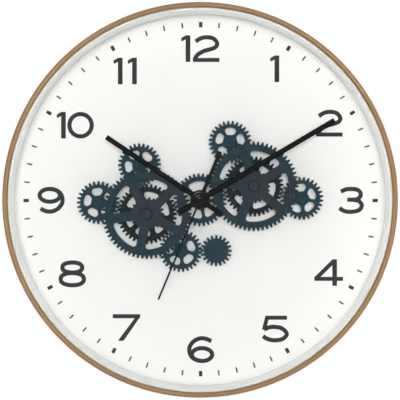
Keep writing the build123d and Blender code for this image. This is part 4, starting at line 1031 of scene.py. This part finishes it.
@dataclass
class Finishes:
    """The clock's materials, and the nodes that wear each."""

    nodes: dict[str, bpy.types.Object]
    cells: tuple[str, ...] = ("movement_cell", "motor_cell")
    worn: dict[str, tuple[str, ...]] = field(default_factory=lambda: {
        "beech": ("wood_hoop",),
        "pine": ("dial_cleats", "hanger_block"),
        "glass": ("front_glass",),
        "ring": ("spacer_ring",),
        "dial": ("dial_board",),
        "slate": ("left_great_wheel", "right_great_wheel", "centre_wheel"),
        "cap": ("post_caps",),
        # Wheels behind the front layer and the centre clip wear a darker copy of the slate: painted shade.
        "shade": (
            "left_middle_wheel", "left_rear_pinion", "right_middle_wheel", "right_rear_pinion",
            "centre_clip",
        ),
        "blue": (
            "upper_left_wheel", "outer_left_wheel", "lower_left_wheel", "upper_right_wheel",
            "outer_right_wheel", "drive_pinion",
        ),
        "black_paint": ("hour_hand", "minute_hand", "second_hand", "hand_nut"),
        "case": ("movement_case", "movement_cover", "motor_case", "motor_cover"),
        "acetal": (
            "output_wheel", "reduction_wheel", "hour_wheel", "motion_wheel", "set_knob", "seconds_wheel",
            "third_wheel", "clutch_wheel", "stepper_wheel",
        ),
        "brass": ("centre_bush", "bush_washer", "bush_nut", "cannon_pinion", "motor_rotor"),
        "steel": ("wheel_posts", "output_shaft", "stator"),
        "zinc": (
            "cleat_screws", "hanger_plate", "hanger_screws", "quartz_crystal", "motor_cover_screws",
            "motor_can",
        ),
        "nickel": ("movement_contacts", "motor_contacts"),
        "magnet": ("stepper_rotor",),
        "winding": ("coil",),
        "board": ("circuit_board",),
    })

    def makers(self) -> dict:
        """Sets up the finishes.

        Returns:
            The finish behind each name.
        """
        # The slate's patches on the two great wheels are painted sheen.
        slate = Moulded(
            "dark_slate_abs", "1F3741", "26373F", 0.58, 0.15, mottle=0.12, painted_sheen="2D343A",
            painted_sheen_mm=((-44.0, -8.0, 40.0), (74.0, 10.0, 34.0)),
        )
        return {
            "beech": BentBeech(),
            "pine": PlanedPine(),
            "glass": FloatGlass(),
            # The ring's front face is painted darker with its edge colour: painted shade.
            "ring": Moulded("white_abs_ring", "FAFCFA", "F7FAF7", 0.12, 1.0, 0.5, 0.003, edge="E8EAE8"),
            "dial": Moulded("white_dial_board", "F7F7F5", "F5F5F3", 0.62, 0.2, 0.7, 0.015, 60.0),
            "slate": slate,
            # The caps' bevels are painted lighter: painted light.
            "cap": replace(slate, name="dark_slate_caps", bevel=2.6),
            # A darker copy of the slate, as painted shade on the wheels behind the front layer.
            "shade": Moulded("slate_abs_painted_shade", "14242A", "19262B", 0.58, 0.15, mottle=0.12),
            "blue": Moulded("dark_blue_abs", "1F3A46", "253B45", 0.58, 0.15, mottle=0.12),
            "black_paint": PaintedSheet(),
            "case": Moulded("black_abs_case", "1D1F21", "232527", 0.5, 0.45, 0.6, 0.05),
            "acetal": Moulded("natural_acetal", "E2E0D8", "DAD8CF", 0.4),
            "brass": Metal("turned_brass", "C2A25C", "A98A49", 0.3),
            "steel": Metal("turned_steel", "A8ABAD", "94979A", 0.3),
            "zinc": Metal("zinc_plated_steel", "B2B5B6", "9DA1A4", 0.36),
            "nickel": Metal("nickel_plated_strip", "BDBAB0", "A9A69C", 0.26),
            "magnet": Metal("sintered_magnet", "47474A", "3A3A3D", 0.5),
            "winding": Winding(),
            "board": Moulded("solder_mask", "245538", "2C6443", 0.35, 0.5, 0.8, 0.03, 6.0),
        }

    def wear(self) -> None:
        """Makes each finish and puts it on its nodes."""
        makers = self.makers()
        for name, members in self.worn.items():
            material = makers[name].make()
            for member in members:
                self.dress(member, material)
        for cell in self.cells:
            low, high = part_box(cell)
            sleeve = CellSleeve(f"{cell}_sleeve", low.x / MM, high.x / MM - CELL_PIP_MM)
            self.dress(cell, sleeve.make())

    def dress(self, node: str, material: bpy.types.Material) -> None:
        """Puts one finish on all slots of a node.

        Args:
            node: The node's name.
            material: Its finish.
        """
        mesh = self.nodes[node].data
        mesh.materials.clear()
        mesh.materials.append(material)
        LOG.info("%s wears %s", node, material.name)


@dataclass(frozen=True)
class Lamp:
    """A square soft lamp that faces the clock, in metres and watts."""

    name: str
    at: Place
    watts: float
    size: float

    def hang(self) -> None:
        """Hangs the lamp in the scene."""
        data = bpy.data.lights.new(self.name, "AREA")
        data.energy = self.watts
        data.shape = "SQUARE"
        data.size = self.size
        lamp = bpy.data.objects.new(self.name, data)
        lamp.location = self.at
        lamp.rotation_euler = (-Vector(self.at)).to_track_quat("-Z", "Y").to_euler()
        bpy.context.scene.collection.objects.link(lamp)


@dataclass(frozen=True)
class WhiteRoom:
    """Surroundings: white to the camera, soft light from front, back and sides, dark in mirrors."""

    name: str = "white_studio"
    ambient: Point = (0.16, 43.0)
    focus: float = 60.0
    back_share: float = 0.5
    tilt_deg: float = 2.5
    belt: float = 3.4
    belt_half: float = 0.2
    belt_span: Point = (0.6, 0.95)
    mirror_dark: float = 0.05
    mirror_span: Point = (-0.85, 0.1)
    mirror_low: float = 0.04
    mirror_rise: Point = (0.3, 0.9)

    def mirrored(self, n: Nodes, way: Socket) -> Socket:
        """Works out what mirrors show: dark in front and below, pale behind and above.

        Args:
            n: The world's tree.
            way: The direction's socket.

        Returns:
            The level's socket.
        """
        parts = n.add("ShaderNodeSeparateXYZ", (way,))
        back = n.add(RANGE, (parts["Y"], *self.mirror_span, self.mirror_dark, 1.0))[0]
        raised = n.add(RANGE, (parts["Z"], *self.mirror_rise, self.mirror_low, 1.0))[0]
        return n.add(MATHS, (back, raised), operation=Op.MULTIPLY)[0]

    def soft(self, n: Nodes, way: Socket) -> Socket:
        """Works out the light on matt surfaces: a narrow lobe in front, a weaker one behind, a belt beside.

        Args:
            n: The world's tree.
            way: The direction's socket.

        Returns:
            The level's socket.
        """
        tilt = math.radians(self.tilt_deg)
        axis = (0.0, -math.cos(tilt), math.sin(tilt))
        along = n.add(VECTORS, (way, axis), operation=Op.DOT)["Value"]
        square = n.add(MATHS, (along, along), operation=Op.MULTIPLY)[0]
        narrow = n.add(MATHS, (square, self.focus), operation=Op.POWER)[0]
        facing = n.add(RANGE, (along, -1.0, 1.0, self.back_share, 1.0))[0]
        narrow = n.add(MATHS, (narrow, facing), operation=Op.MULTIPLY)[0]
        lobes = n.add(RANGE, (narrow, *RISING, *self.ambient))[0]
        parts = n.add("ShaderNodeSeparateXYZ", (way,))
        band = n.add(MATHS, (parts["Y"], 0.0, self.belt_half), operation=Op.COMPARE)[0]
        across = n.add(MATHS, (parts["X"],), operation=Op.ABSOLUTE)[0]
        beside = n.add(RANGE, (across, *self.belt_span, 0.0, self.belt))[0]
        return n.add(MATHS, (band, beside, lobes), operation=Op.MULTIPLY_ADD)[0]

    def build(self) -> None:
        """Makes the world and puts it in the scene."""
        world = bpy.data.worlds.new(self.name)
        world.use_nodes = True
        n = Nodes(world.node_tree)
        n.tree.nodes.clear()
        path = n.add("ShaderNodeLightPath")
        way = n.add("ShaderNodeTexCoord")["Generated"]
        rays = (path["Is Glossy Ray"], path["Is Transmission Ray"])
        in_mirror = n.add(MATHS, rays, operation=Op.MAXIMUM)[0]
        levels = {0: in_mirror, FIRST_NUMBER: self.soft(n, way), SECOND_NUMBER: self.mirrored(n, way)}
        light = n.add(MIX, levels)[0]
        seen = {0: path["Is Camera Ray"], FIRST_NUMBER: light, SECOND_NUMBER: 1.0}
        strength = n.add(MIX, seen)[0]
        sky = n.add("ShaderNodeBackground", {"Color": WHITE, "Strength": strength})[0]
        n.add("ShaderNodeOutputWorld", (sky,))
        bpy.context.scene.world = world


@dataclass
class Studio:
    """Camera, lamps, floor and white surroundings."""

    camera_y_m: float = -1.539
    camera_side_m: Point = (-0.00006, -0.00018)
    lens_mm: float = 133.68
    sensor_mm: float = 36.0
    clip_m: float = 50.0
    floor_z_m: float = -0.62
    floor_half_m: float = 2.5
    floor_code: str = "F2F2F0"
    floor_pale: str = "FFFFFF"
    floor_cloud_mm: float = 400.0
    floor_cloud_share: Point = (0.0, 0.3)
    floor_white: float = 0.6
    lamps: tuple[Lamp, ...] = (
        Lamp("key", (0.2, -2.0, 1.5), 6.0, 1.6),
        Lamp("fill", (-1.4, -1.6, 0.3), 3.0, 1.2),
        Lamp("rear", (0.7, 1.6, 1.1), 14.0, 1.0),
    )

    def camera(self) -> None:
        """Stands the camera square in front of the dial."""
        data = bpy.data.cameras.new("photo_camera")
        data.lens = self.lens_mm
        data.sensor_width = self.sensor_mm
        data.clip_end = self.clip_m
        camera = bpy.data.objects.new("photo_camera", data)
        camera.location = (self.camera_side_m[0], self.camera_y_m, self.camera_side_m[1])
        camera.rotation_euler = (math.pi / 2, 0.0, 0.0)
        bpy.context.scene.collection.objects.link(camera)
        bpy.context.scene.camera = camera

    def floor(self) -> None:
        """Lays a plain pale floor below the clock."""
        s = Sheet("pale_floor")
        clouds = {"Vector": s.place, "Scale": rate(self.floor_cloud_mm), "Detail": 2.0}
        cloud = s.add(NOISE, clouds)[0]
        colour = s.lay(self.floor_code, self.floor_pale, cloud, USUAL, self.floor_cloud_share)
        matt = s.add("ShaderNodeBsdfDiffuse", {"Color": colour})[0]
        white = s.add("ShaderNodeEmission", {"Color": WHITE, "Strength": 1.0})[0]
        seen = s.add("ShaderNodeLightPath")["Is Camera Ray"]
        share = s.add(MATHS, (seen, self.floor_white), operation=Op.MULTIPLY)[0]
        mixed = s.add("ShaderNodeMixShader", (share, matt, white))[0]
        s.add("ShaderNodeOutputMaterial", (mixed,))
        half = self.floor_half_m
        z = self.floor_z_m
        mesh = bpy.data.meshes.new("floor")
        corners = [(-half, -half, z), (half, -half, z), (half, half, z), (-half, half, z)]
        mesh.from_pydata(corners, [], [(0, 1, 2, 3)])
        mesh.materials.append(s.material)
        floor = bpy.data.objects.new("floor", mesh)
        bpy.context.scene.collection.objects.link(floor)

    def build(self) -> None:
        """Sets up the whole studio."""
        bpy.context.scene.view_settings.view_transform = "Standard"
        self.camera()
        WhiteRoom().build()
        self.floor()
        for lamp in self.lamps:
            lamp.hang()


def main() -> None:
    """Loads the frame, dresses it and adds the print and the studio."""
    logging.basicConfig(level=logging.INFO, format="%(name)s: %(message)s")
    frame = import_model()
    Studio().build()
    Finishes(frame["nodes"]).wear()
    ink = Ink("dark_print_ink", "1F2526", "272D2E").make()
    grey = Ink("grey_print_ink", "414748", "4B5152").make()
    DialPrint().build(ink, grey)


if __name__ == "__main__":
    main()
